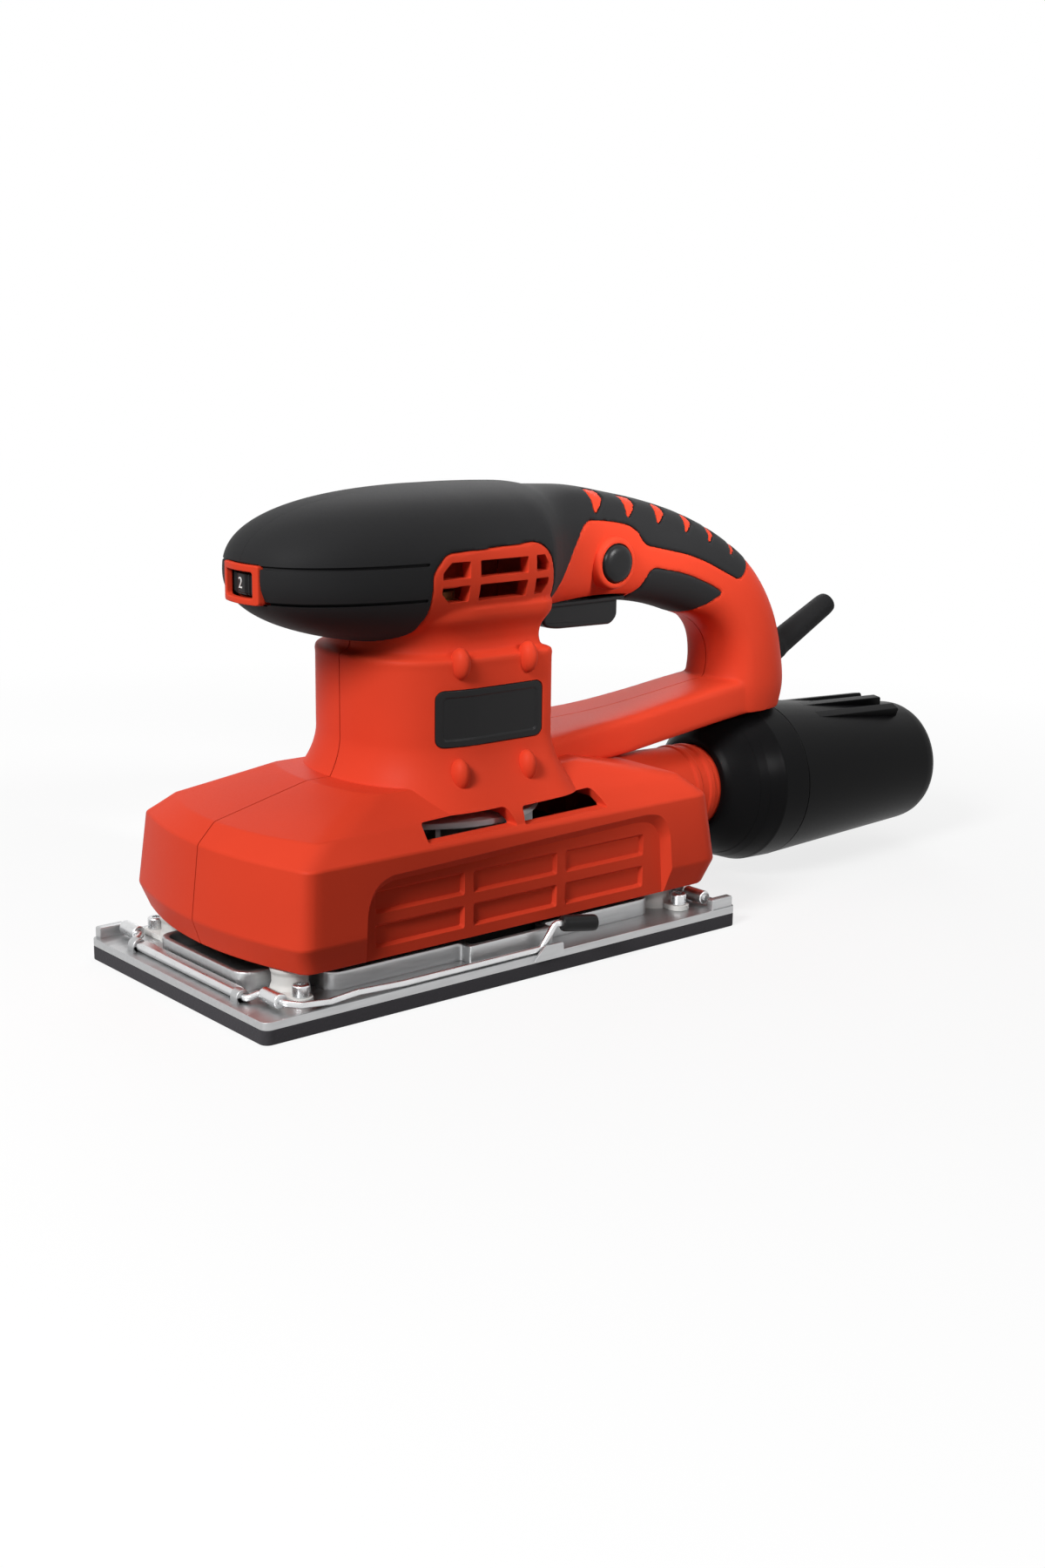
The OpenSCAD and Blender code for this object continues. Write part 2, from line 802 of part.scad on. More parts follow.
module armature() {
  color("#6f7479")
    difference() {
      ring(shaft_r, armature_r, z_stator + 1, z_stator + stator_h - 1);
      for (a = [0:30:359])
        rotate([0, 0, a])
          translate([armature_r - 3, -0.8, z_stator - 6])
            cube([5, 1.6, stator_h + 14]);
    }
}

module armature_winding() {
  color("#b06a35") {
    translate([0, 0, z_stator + stator_h - 1])
      rotate_extrude()
        polygon([[shaft_r + 1, 0], [armature_r - 2.5, 0], [armature_r - 2, 2], [armature_r - 3.5, 5.5],
          [armature_r - 9, 7], [shaft_r + 1, 7]]);
    translate([0, 0, z_stator + 1])
      rotate_extrude()
        polygon([[shaft_r + 1.6, 0], [armature_r - 2.5, 0], [armature_r - 3, -2], [armature_r - 5, -3.2],
          [shaft_r + 1.6, -3.2]]);
  }
}

module commutator() {
  color("#b87333")
    difference() {
      ring(shaft_r, 11, z_brush - 6.5, z_brush + 6);
      for (a = [0:30:359])
        rotate([0, 0, a])
          translate([10.4, -0.3, z_brush - 5])
            cube([2, 0.6, 20]);
    }
}

module fan() {
  color("#c8cacb")
    difference() {
      union() {
        translate([0, 0, z_fan + fan_h - 2])
          cylinder(h = 2, r = fan_r);
        translate([0, 0, z_fan])
          cylinder(h = fan_h + 1, r = 9);
        for (i = [0:fan_blades - 1])
          rotate([0, 0, 360 * i / fan_blades])
            translate([8, -0.8, z_fan])
              cube([fan_r - 10, 1.6, fan_h - 1.5]);
      }
      translate([0, 0, z_fan - 11])
        cylinder(h = fan_h + 25, r = shaft_r);
    }
}

module counterweight() {
  color("#7d8186") {
    ring(10 + run_gap, 14, 28.5, 39.5);
    sector(13.5, 27, 28.5, 39.5, 95, 170);
  }
}

// Bush on the shaft whose pin runs off the shaft's axis
module eccentric() {
  color("#9a9ea3")
    difference() {
      union() {
        translate([0, 0, 22.5])
          cylinder(h = 18, r = 10);
        translate([orbit_r, 0, z_hub + 0.4])
          cylinder(h = 11.6, r = pin_r - run_gap);
      }
      translate([0, 0, 26])
        cylinder(h = 20, r = shaft_r);
    }
}

// Outline of the walls on the plate, shrunk by g
module wall_plan(g) {
  plate2(2 * (half_l - 10 - g), 56 - 2 * g, 6 - g / 2);
  plate2(2 * (leg_x - leg_r - 2.5 - g), 2 * (half_w - 12 - g), 6 - g / 2);
  for (s = [0, 180])
    rotate(s)
      translate([-18 + g, -half_w + 6.5 + g])
        square([38 - 2 * g, 20]);
}

// One pair of wire lugs and the hook of one clamp lever
module clamp_seat() {
  for (y = [-lug_y, lug_y])
    translate([-axle_x, y, 0])
      difference() {
        union() {
          translate([-2.6, -2, deck - 0.5])
            cube([5.2, 4, axle_z - deck + 0.5]);
          translate([0, 2, axle_z])
            rotate([90, 0, 0])
              cylinder(h = 4, r = 2.6);
        }
        translate([0, 5, axle_z])
          rotate([90, 0, 0])
            cylinder(h = 10, r = wire_r + wire_gap);
      }
  // Tab on the side edge, behind which the lever hooks
  side(-half_w - tab_t, -half_w + 0.2)
    polygon([[5, deck - 2], [19, deck - 2], [18.5, deck + 3], [10, deck + 3]]);
  // Ear at the corner across from the lever
  translate([1.5 - half_l, half_w - 4.2, deck - 0.5])
    cube([11, 3.6, 4.5]);
}

module platen() {
  color("#c6c8ca")
    difference() {
      union() {
        translate([0, 0, pad_t])
          linear_extrude(plate_t)
            plate2(pad_l, pad_w, 3);
        translate([0, 0, deck - 0.5])
          linear_extrude(wall_h + 0.5)
            difference() {
              wall_plan(0);
              wall_plan(2.5);
            }
        translate([orbit_r, 0, deck - 0.5])
          cylinder(h = 13.5, r = hub_r + 5);
        for (a = [0, 90, 180, 270])
          rotate([0, 0, a])
            translate([17, -1.5, deck - 0.5])
              cube([20, 3, 5]);
        clamp_seat();
        rotate([0, 0, 180])
          clamp_seat();
      }
      translate([orbit_r, 0, lift + z_hub])
        cylinder(h = 40, r = hub_r);
      dust_holes();
      for (sx = [-1, 1], sy = [-1, 1])
        translate([sx * (leg_x + 3), sy * (leg_y + 11), deck - 2])
          cylinder(h = 10, r = 1.7);
    }
}

module dust_holes() {
  for (x = [59 - leg_x, leg_x - 19], t = [-1, 1], s = [-1, 1])
    translate([x * t, s * (half_w - 24.5), -1])
      cylinder(h = 30, r = dust_hole_r);
}

module sanding_pad() {
  color("#3d3b40")
    difference() {
      linear_extrude(pad_t)
        plate2(pad_l, pad_w, 3);
      dust_holes();
    }
}

module eccentric_bearing() {
  color("#b9bec4")
    translate([orbit_r, 0, z_hub])
      bearing(pin_r, hub_r - run_gap, 8);
}

module hub_circlip() {
  color("#55585c")
    translate([orbit_r, 0, 0])
      difference() {
        ring(hub_r - 2.2, hub_r - run_gap, z_hub + 8, z_hub + 9.2);
        translate([8, -2, z_hub + 4])
          cube([10, 4, 10]);
      }
}

// Light rubber legs between platen and housing, with a foot for the screw
module support_legs() {
  color("#d2d3d1")
    for (sx = [-1, 1], sy = [-1, 1])
      translate([sx * leg_x, sy * leg_y, 8]) {
        cylinder(h = leg_top - slide - 8, r = leg_r);
        difference() {
          union() {
            translate([sx * 3, sy * 11, 0])
              cylinder(h = 2, r = 4);
            translate([sx * 3 - 4, sy > 0 ? 0 : -11, 0])
              cube([8, 11, 2]);
          }
          translate([sx * 3, sy * 11, -1])
            cylinder(h = 10, r = 1.7);
        }
      }
}

module leg_screws() {
  color("#d9dbdd")
    for (sx = [-1, 1], sy = [-1, 1])
      translate([sx * (leg_x + 3), sy * (leg_y + 11), 8]) {
        translate([0, 0, -1.8])
          cylinder(h = 5, r = 1.6);
        translate([0, 0, 2])
          difference() {
            cylinder(h = 4.2, r = 3);
            translate([0, 0, 2.6])
              cylinder(h = 5, r = 1.6, $fn = 6);
          }
      }
}

// Black rubber wall that keeps the dust under the fan
module dust_seal() {
  color("#161617")
    translate([0, 0, deck])
      linear_extrude(lift + shroud_z - slide - deck)
        difference() {
          plate2(seal_l, seal_w, 6);
          plate2(seal_l - 4, seal_w - 4, 4);
        }
}

// Direction of a path at its point i
function heading(p, i) = let(n = len(p), v = p[min(i + 1, n - 1)] - p[max(i - 1, 0)]) v / norm(v);
// Points of a bend of radius rb between three points, one point where the path hardly turns
function bend_points(a, b, c, rb) = let(u = (a - b) / norm(a - b), v = (c - b) / norm(c - b),
    h = acos(max(-1, u * v)) / 2, t = rb / tan(h), m = b + u * t, o = b + v * t)
  h > 80 ? [b] : [for (k = [0:4]) let(q = k / 4) (1 - q) * (1 - q) * m + 2 * q * (1 - q) * b + q * q * o];
// Path with its inner corners rounded
function rounded_path(p, rb) = concat([p[0]],
  [for (i = [1:len(p) - 2]) each bend_points(p[i - 1], p[i], p[i + 1], rb)], [p[len(p) - 1]]);

// Round rod along a path
module rod(p, r) {
  loft([for (i = [0:len(p) - 1]) let(d = heading(p, i), s = cross(d, abs(d[2]) > 0.9 ? [1, 0, 0] : [0, 0, 1]),
    u = s / norm(s), v = cross(u, d))
    [for (k = [0:7]) p[i] + r * (cos(45 * k) * v + sin(45 * k) * u)]]);
}

// Path of the front clamp's lever, its finger end and the short end across from it
bend = [16, -arm_y - 0.7, deck + 9.8];
tip_dir = [0.951, -0.3, -0.08];
wire_path = [[-axle_x, -lug_y - 1.6, axle_z], [-axle_x, 3 - knuckle_y, axle_z],
  [-crank_x, 1.5 - knuckle_y, crank_z], [-crank_x, -knuckle_y - knuckle_l - 2, crank_z],
  [4.5 - crank_x, -arm_y, crank_z - 0.8],
  [21 - axle_x, -arm_y, arm_z], [32 - axle_x, -arm_y, arm_z + 0.9], [51 - axle_x, -arm_y, arm_z],
  [10, -arm_y, arm_z], bend, bend + tip_dir * (sleeve_l + 2.5)];
short_path = [[-axle_x, lug_y + 1.6, axle_z], [-axle_x, knuckle_y - 3, axle_z],
  [-crank_x, knuckle_y - 1.5, crank_z],
  [-crank_x, knuckle_y + knuckle_l + 0.8, crank_z]];

module clamp_wire() {
  color("#aeb2b6") {
    translate([-axle_x, lug_y + 2.2, axle_z])
      rotate([90, 0, 0])
        cylinder(h = 2 * lug_y + 4.4, r = wire_r);
    rod(rounded_path(wire_path, 1.6), wire_r);
    rod(rounded_path(short_path, 1.6), wire_r);
  }
}

// Toothed jaw rolled round the axle, with a knuckle on each crank of the wire
module clamp_jaw() {
  color("#9da1a5") {
    translate([-axle_x, -jaw_w / 2, axle_z])
      difference() {
        union() {
          rotate([-90, 0, 0])
            cylinder(h = jaw_w, r = wire_r + 0.4);
          translate([0, 0, 0.7])
            cube([3.2, jaw_w, 0.9]);
          translate([2.3, 0, -0.4])
            cube([0.9, jaw_w, 2]);
          for (y = [0.7:3:jaw_w - 2])
            translate([2.3, y, -1.5])
              cube([0.9, 1.6, 1.3]);
        }
        translate([0, -5, 0])
          rotate([-90, 0, 0])
            cylinder(h = jaw_w + 10, r = wire_r + 0.02);
      }
    for (y = [-knuckle_y - knuckle_l, knuckle_y])
      translate([-crank_x, y, crank_z])
        rotate([-90, 0, 0])
          difference() {
            cylinder(h = knuckle_l, r = knuckle_r);
            translate([0, 0, -1])
              cylinder(h = knuckle_l + 2, r = wire_r + 0.02);
          }
  }
}

module lever_sleeve() {
  color("#1c1c1e")
    translate(bend + tip_dir * 2.4)
      rotate([0, acos(tip_dir[2] / norm(tip_dir)), atan2(tip_dir[1], tip_dir[0])])
        difference() {
          union() {
            cylinder(h = sleeve_l, r = sleeve_r);
            translate([0, 0, sleeve_l])
              cylinder(h = 0.8, r1 = sleeve_r, r2 = sleeve_r - 0.8);
          }
          translate([0, 0, -1])
            cylinder(h = sleeve_l + 1.2, r = wire_r + 0.02);
        }
}

module front_clamp_wire() {
  clamp_wire();
}

module front_clamp_jaw() {
  clamp_jaw();
}

module front_lever_sleeve() {
  lever_sleeve();
}

module rear_clamp_wire() {
  rotate([0, 0, 180])
    clamp_wire();
}

module rear_clamp_jaw() {
  rotate([0, 0, 180])
    clamp_jaw();
}

module rear_lever_sleeve() {
  rotate([0, 0, 180])
    lever_sleeve();
}

// Front piece of the canister, pushed over the spigot
module dust_cap() {
  color("#1f1f21")
    dust_line()
      rotate_extrude()
        polygon([[spigot_r + 0.25, cap_s], [spigot_r + 2.5, cap_s], [spigot_r + 4.5, cap_s + 1.5],
          [can_r1 - 7.8, cap_s + 5.5], [can_r1 - 4.4, cap_s + 10.3], [can_r1 - 1.8, cap_s + 15.6],
          [can_r1 - 0.4, cap_s + 20.6], [can_r1, cap_s + 22], [can_r1 - 0.2, seam_s],
          [can_r1 - 2.6, seam_s], [can_r1 - 2.6, seam_s + 6], [can_r1 - 4.6, seam_s + 6],
          [can_r1 - 4.6, cap_s + 24], [can_r1 - 5.8, cap_s + 17.5], [can_r1 - 8.2, cap_s + 12.5],
          [can_r1 - 11.2, cap_s + 8], [spigot_r + 3, cap_s + 5.4], [spigot_r + 3, cap_s + 14],
          [spigot_r + 0.25, cap_s + 14]]);
}

// Rear piece of the canister, closed at the back, with ribs along its top
module dust_body() {
  color("#19191b")
    dust_line() {
      rotate_extrude()
        polygon([[can_r1 - 2.4, seam_s + 0.3], [can_r1 - 0.3, seam_s + 0.3],
          [can_r2 + 0.6, seam_s + can_l - 6],
          [can_r2 - 0.2, seam_s + can_l - 2.8], [can_r2 - 2, seam_s + can_l - 0.8],
          [can_r2 - 4.5, seam_s + can_l], [0, seam_s + can_l], [0, seam_s + can_l - can_t],
          [can_r2 - 4.8, seam_s + can_l - can_t],
          [can_r2 - 1.8, seam_s + can_l - 6], [can_r1 - 2.4, seam_s + 9]]);
      for (k = [0:3])
        rotate([0, 0, 180 - 27 + 18 * k])
          translate([0, rib_w / 2, 0])
            rotate([90, 0, 0])
              linear_extrude(rib_w)
                polygon([[body_r(rib_s) - 1.4, rib_s], [body_r(rib_s), rib_s],
                  [body_r(rib_s), rib_s + 46 + 2 * k],
                  [body_r(rib_s + 46 + 2 * k) - 1.4, rib_s + 46 + 2 * k]]);
    }
}

module dust_filter() {
  color("#d8d4c4")
    dust_line()
      translate([0, 0, seam_s + can_l - can_t - 12])
        cylinder(h = 12, r = can_r2 - 5);
}

// The body's nodes rise with the deck
module raised() {
  translate([0, 0, lift])
    children();
}

raised() housing_left();
raised() housing_right();
raised() soft_grip_left();
raised() soft_grip_right();
raised() dial_bezel();
raised() badge_plate();
raised() cord_guard();
raised() housing_screws();
raised() dust_spigot();
raised() fan_shroud();
raised() stator();
raised() field_coils();
raised() lower_bearing();
raised() upper_bearing();
raised() brush_holders();
raised() carbon_brushes();
raised() speed_module();
raised() switch_body();
raised() trigger();
raised() lock_button();
raised() speed_dial();
raised() motor_shaft();
raised() armature();
raised() armature_winding();
raised() commutator();
raised() fan();
raised() counterweight();
raised() eccentric();
platen();
sanding_pad();
raised() eccentric_bearing();
raised() hub_circlip();
raised() support_legs();
raised() leg_screws();
dust_seal();
front_clamp_wire();
front_clamp_jaw();
front_lever_sleeve();
rear_clamp_wire();
rear_clamp_jaw();
rear_lever_sleeve();
raised() dust_cap();
raised() dust_body();
raised() dust_filter();
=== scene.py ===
# %% [markdown]
# # A half-sheet orbital sander, dressed for the shelf
# The imported model is the frame: it says where each piece sits and how it moves. This lesson builds the pieces that
# the eye lands on again, with rounder forms and real finishes, and leaves the motor inside as it came. We load the
# frame first.

# %% Load the frame
import json
import math
import bpy
import bmesh
import numpy as np
from mathutils import Matrix, Vector


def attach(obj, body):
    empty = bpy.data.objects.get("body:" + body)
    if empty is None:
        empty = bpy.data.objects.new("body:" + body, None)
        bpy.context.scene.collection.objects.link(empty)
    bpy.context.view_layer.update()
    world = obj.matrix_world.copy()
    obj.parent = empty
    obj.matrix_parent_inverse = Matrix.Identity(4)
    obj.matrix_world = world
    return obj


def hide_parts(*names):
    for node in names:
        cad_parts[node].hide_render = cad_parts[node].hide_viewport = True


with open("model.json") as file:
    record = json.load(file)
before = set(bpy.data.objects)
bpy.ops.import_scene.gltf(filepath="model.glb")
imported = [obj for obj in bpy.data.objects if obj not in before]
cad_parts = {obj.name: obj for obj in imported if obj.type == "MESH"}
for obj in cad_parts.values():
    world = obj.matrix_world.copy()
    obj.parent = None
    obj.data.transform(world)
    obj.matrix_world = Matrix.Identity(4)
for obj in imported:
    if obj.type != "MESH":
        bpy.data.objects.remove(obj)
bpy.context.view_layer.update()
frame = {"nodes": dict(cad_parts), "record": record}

scene = bpy.context.scene
scene.view_settings.view_transform = "Standard"
MM = 0.001

# %% [markdown]
# ## Where the camera stands
# The straight edges of the platen and the upright lines of the neck give the camera: in front of the tool, to its
# left and a little above. A camera's matrix has its right, its up and its backward direction as columns, so we can
# write it down from two angles and a slight roll, without any aiming object.

# %% Camera
turn, rise, roll = math.radians(-39.90), math.radians(13.55), math.radians(0.70)
ahead = Vector((-math.sin(turn) * math.cos(rise), math.cos(turn) * math.cos(rise), -math.sin(rise)))
right = Vector((math.cos(turn), math.sin(turn), 0))
up = right.cross(ahead)
right, up = right * math.cos(roll) + up * math.sin(roll), up * math.cos(roll) - right * math.sin(roll)
lens = bpy.data.cameras.new("camera")
lens.lens, lens.sensor_width, lens.sensor_fit = 47.41, 36, "AUTO"
lens.clip_start, lens.clip_end = 0.02, 100
camera = bpy.data.objects.new("camera", lens)
place = Matrix((right, up, -ahead)).transposed().to_4x4()
place.translation = (-0.44379, -0.58724, 0.23785)
camera.matrix_world = place
scene.collection.objects.link(camera)
scene.camera = camera
print("camera at", [round(v, 3) for v in place.translation])

# %% [markdown]
# ## Materials as expressions
# A finish is a small net of nodes. Wiring it by hand hides the idea, so one class wraps a socket and turns `a * b + c`
# into Math nodes. Only what changes over a surface goes through the net; a value that is the same everywhere is set on
# the shader itself.

# %% Sockets that calculate
class Value:
    def __init__(self, finish, socket):
        self.finish, self.socket = finish, socket

    def math(self, operation, a, b):
        return self.finish.node("ShaderNodeMath", {"operation": operation}, {0: a, 1: b})

    def __add__(self, other):
        return self.math("ADD", self, other)

    def __radd__(self, other):
        return self.math("ADD", other, self)

    def __sub__(self, other):
        return self.math("SUBTRACT", self, other)

    def __rsub__(self, other):
        return self.math("SUBTRACT", other, self)

    def __mul__(self, other):
        return self.math("MULTIPLY", self, other)

    def __rmul__(self, other):
        return self.math("MULTIPLY", other, self)


print("sockets can add, subtract and multiply")

# %% [markdown]
# ## One maker of nodes
# A material, and the world behind it, own a tree of nodes. The class below clears that tree and has a single method
# that adds a node: first its settings, then each socket's value or link. The short methods after it are the few
# patterns that come back in every finish: a place on the piece, noise, a colour between two, a bump, and the shader,
# which files the material under its name.

# %% Finishes
finishes = {}


class Finish:
    def __init__(self, name, owner=None):
        self.name, self.owner = name, owner or bpy.data.materials.new(name)
        self.owner.use_nodes = True
        self.tree = self.owner.node_tree
        self.tree.nodes.clear()

    def node(self, kind, settings=None, sockets=None, out=0):
        made = self.tree.nodes.new(kind)
        for key, value in (settings or {}).items():
            setattr(made, key, value)
        for key, value in (sockets or {}).items():
            if isinstance(value, Value):
                self.tree.links.new(value.socket, made.inputs[key])
            else:
                made.inputs[key].default_value = value
        return Value(self, made.outputs[out]) if made.outputs else None

    def spot(self, stretch=(1, 1, 1)):
        where = self.node("ShaderNodeTexCoord", out="Object")
        return self.node("ShaderNodeMapping", None, {"Vector": where, "Scale": stretch})

    def noise(self, scale, detail=2.0, stretch=(1, 1, 1)):
        return self.node("ShaderNodeTexNoise", None, {"Vector": self.spot(stretch), "Scale": scale, "Detail": detail})

    def tint(self, share, low, high):
        return self.node("ShaderNodeMix", {"data_type": "RGBA"}, {0: share, 6: (*low, 1), 7: (*high, 1)}, out=2)

    def bump(self, height, strength, depth):
        return self.node("ShaderNodeBump", None, {"Height": height, "Strength": strength, "Distance": depth})

    def surface(self, **sockets):
        named = {key.replace("_", " ").title().replace("Ior", "IOR"): value for key, value in sockets.items()}
        shader = self.node("ShaderNodeBsdfPrincipled", None, named)
        self.node("ShaderNodeOutputMaterial", None, {"Surface": shader})
        finishes[self.name] = self.owner


print("ready for finishes")

# %% [markdown]
# ## A studio with a white sweep
# A catalogue picture has a white ground and large soft lamps. The ground's white is what the camera and reflections
# see; the light on the tool comes from the lamps and a dim world, so colours stay as they are written. The big lamp
# stands high in front, which leaves the long left side of the skirt in half shade; a narrow one picks out the handle.

# %% World
def seen(net):
    eye, mirror, through = (net.node("ShaderNodeLightPath", out=f"Is {kind} Ray")
                            for kind in ("Camera", "Glossy", "Transmission"))
    return eye.math("MAXIMUM", eye.math("MAXIMUM", eye, mirror), through)


WHITE = (1, 1, 1, 1)
sky = Finish("studio", bpy.data.worlds.new("studio"))
scene.world = sky.owner
dim, bright = (sky.node("ShaderNodeBackground", None, {"Color": WHITE, "Strength": level}) for level in (0.11, 1.0))
choice = sky.node("ShaderNodeMixShader", None, {0: seen(sky), 1: dim, 2: bright})
sky.node("ShaderNodeOutputWorld", None, {"Surface": choice})
print("world of", len(sky.tree.nodes), "nodes")

# %% Lamps
def lamp(name, kind, at, aim, watts, **look):
    light = bpy.data.lights.new(name, kind)
    light.energy = watts
    for key, value in look.items():
        setattr(light, key, value)
    ob = bpy.data.objects.new(name, light)
    ob.location = at
    ob.rotation_euler = (Vector(aim) - Vector(at)).to_track_quat("-Z", "Y").to_euler()
    scene.collection.objects.link(ob)


SOFT = [("key_lamp", (-1.12, -0.36, 0.96), (0, 0, 0.08), 0.5, 21),
        ("top_lamp", (0.20, 0.05, 1.35), (0.05, 0, 0.1), 0.8, 2.5),
        ("side_lamp", (-0.75, -0.75, 1.0), (0, 0, 0.06), 0.4, 0.4),
        ("rear_lamp", (1.0, 1.0, 0.9), (0.05, 0, 0.1), 0.8, 5)]
for name, at, aim, size, watts in SOFT:
    lamp(name, "AREA", at, aim, watts, shape="DISK", size=size)
lamp("handle_lamp", "SPOT", (0.25, -0.75, 0.50), (0.095, 0.0, 0.127), 42, shadow_soft_size=0.08,
     spot_size=math.radians(12.4), spot_blend=0.6)
print("five lamps")

# %% [markdown]
# ## The floor
# The floor has to be white and still hold the tool's shadow. Close to the tool it is mostly matt, so that the shadow
# falls on it; further out it glows like the world behind it, and the horizon disappears. Light that bounces off the
# floor onto the tool meets a dull grey instead, so that the white ground doesn't wash out the lower edges.

# %% Floor
bm = bmesh.new()
bmesh.ops.create_grid(bm, x_segments=4, y_segments=4, size=30)
ground = bpy.data.meshes.new("floor")
bm.to_mesh(ground)
bm.free()
floor = bpy.data.objects.new("floor", ground)
scene.collection.objects.link(floor)
pale = Finish("pale_floor")
reach = pale.node("ShaderNodeVectorMath", {"operation": "LENGTH"}, {0: pale.spot()}, out="Value")
fade = pale.node("ShaderNodeMapRange", None,
                 {"Value": reach, "From Min": 0.22, "From Max": 0.6, "To Min": 0.8, "To Max": 1.0})
matt = pale.node("ShaderNodeBsdfDiffuse", None, {"Color": (0.9, 0.9, 0.9, 1)})
glow = pale.node("ShaderNodeEmission", None, {"Color": WHITE, "Strength": 1.0})
dull = pale.node("ShaderNodeBsdfDiffuse", None, {"Color": (0.16, 0.16, 0.16, 1)})
sweep = pale.node("ShaderNodeMixShader", None, {0: fade, 1: matt, 2: glow})
cover = pale.node("ShaderNodeMixShader", None, {0: seen(pale), 1: dull, 2: sweep})
pale.node("ShaderNodeOutputMaterial", None, {"Surface": cover})
floor.data.materials.append(pale.owner)
print("floor", round(floor.dimensions.x), "m wide")

# %% [markdown]
# ## The finishes
# Moulded plastic is never quite even: a mould leaves a fine grain that breaks up reflections, and the colour drifts a
# little. Soft grip is rougher still. Rolled and drawn metal has streaks along the way it was worked, and wound copper
# shows its turns. Each finish below is one short expression of noise at the real scale, in metres.

# %% Moulded finishes
def moulded(slot, low, high, rough, grain, depth, specular=0.5):
    f = Finish(slot)
    cloud, skin = f.noise(22, 3), f.noise(grain, 2)
    f.surface(base_color=f.tint(cloud, low, high), roughness=rough + (skin - 0.5) * 0.16 + (cloud - 0.5) * 0.06,
              normal=f.bump(skin, 0.35, depth), specular_ior_level=specular)


moulded("housing_red", (0.62, 0.047, 0.019), (0.72, 0.058, 0.024), 0.48, 1500, 0.00003, 0.06)
moulded("grip_black", (0.017, 0.017, 0.0175), (0.023, 0.023, 0.024), 0.60, 2600, 0.00006, 0.06)
moulded("trim_black", (0.008, 0.008, 0.0085), (0.013, 0.013, 0.0135), 0.36, 1800, 0.00003, 0.16)
moulded("canister_black", (0.0032, 0.0032, 0.0036), (0.0056, 0.0056, 0.006), 0.36, 1400, 0.00004, 0.05)
moulded("leg_rubber", (0.56, 0.56, 0.54), (0.66, 0.66, 0.64), 0.52, 1700, 0.00004, 0.4)
moulded("seal_rubber", (0.008, 0.008, 0.008), (0.012, 0.012, 0.012), 0.7, 900, 0.00008, 0.3)
moulded("carbon", (0.015, 0.015, 0.015), (0.035, 0.035, 0.035), 0.6, 3000, 0.00005)
moulded("board_green", (0.02, 0.11, 0.04), (0.03, 0.16, 0.06), 0.45, 600, 0.00004)
moulded("fan_grey", (0.76, 0.77, 0.77), (0.84, 0.85, 0.85), 0.45, 1500, 0.00003)
print(len(finishes), "moulded finishes")

# %% Foam rubber, felt and print
foam = Finish("pad_rubber")
cells = foam.node("ShaderNodeTexVoronoi", None, {"Vector": foam.spot(), "Scale": 900.0})
drift = foam.noise(60, 3)
foam.surface(base_color=foam.tint(drift, (0.030, 0.028, 0.032), (0.046, 0.043, 0.049)),
             roughness=0.72 + (drift - 0.5) * 0.1, normal=foam.bump(cells, 0.5, 0.00015), specular_ior_level=0.3)
felt = Finish("filter_cloth")
fibres = felt.noise(1400, 4, (1, 0.2, 1))
felt.surface(base_color=felt.tint(fibres, (0.55, 0.51, 0.42), (0.72, 0.69, 0.60)),
             roughness=0.9 + (fibres - 0.5) * 0.1, normal=felt.bump(fibres, 0.7, 0.0003))
numeral = Finish("numeral_white")
ink = numeral.noise(1500)
numeral.surface(base_color=numeral.tint(ink, (0.72, 0.72, 0.70), (0.82, 0.82, 0.80)),
                roughness=0.5 + (ink - 0.5) * 0.1)
print(len(finishes), "finishes so far")

# %% Metals
def metal(slot, low, high, rough, streak, scale, depth=0.00003):
    f = Finish(slot)
    lines, cloud = f.noise(scale, 3, streak), f.noise(35, 2)
    f.surface(base_color=f.tint(lines, low, high), roughness=rough + (lines - 0.5) * 0.18 + (cloud - 0.5) * 0.1,
              normal=f.bump(lines, 0.3, depth), metallic=1.0)


metal("aluminium", (0.40, 0.405, 0.41), (0.54, 0.545, 0.55), 0.42, (0.12, 1, 1), 700, 0.00004)
metal("wire_steel", (0.60, 0.605, 0.61), (0.76, 0.765, 0.77), 0.30, (0.2, 0.2, 1), 1200)
metal("screw_steel", (0.62, 0.63, 0.64), (0.78, 0.785, 0.79), 0.28, (1, 1, 1), 1500)
metal("bearing_steel", (0.62, 0.63, 0.65), (0.74, 0.75, 0.77), 0.22, (1, 1, 0.1), 1500)
metal("motor_steel", (0.22, 0.23, 0.24), (0.40, 0.41, 0.43), 0.45, (0.02, 0.02, 1), 1600, 0.0001)
metal("copper", (0.42, 0.16, 0.06), (0.66, 0.30, 0.13), 0.35, (0.1, 0.1, 1), 900, 0.0002)
metal("brass", (0.60, 0.42, 0.14), (0.74, 0.55, 0.22), 0.33, (1, 0.1, 1), 1000)
print(len(finishes), "finishes in all")

# %% [markdown]
# ## Tools for the mesh work
# Most of this tool's body is a skin drawn over cross-sections, as a boat is over its frames. In Blender that is one
# circle of edges, extruded again and again and set to the next section. Parts that flow into each other are melted
# together on a fine voxel grid, which leaves the small fillets of a moulding; crisp parts are joined on and openings
# cut afterwards. All of this happens in millimetres; a finished piece is scaled to metres once, in its mesh. First come
# the short helpers that make an object, apply a modifier to it, cut it with others and join it to them.

# %% Objects, modifiers and cuts
def thing(name, bm):
    mesh = bpy.data.meshes.new(name)
    bm.to_mesh(mesh)
    bm.free()
    ob = bpy.data.objects.new(name, mesh)
    scene.collection.objects.link(ob)
    return ob


def discard(ob):
    mesh = ob.data
    bpy.data.objects.remove(ob)
    bpy.data.meshes.remove(mesh)


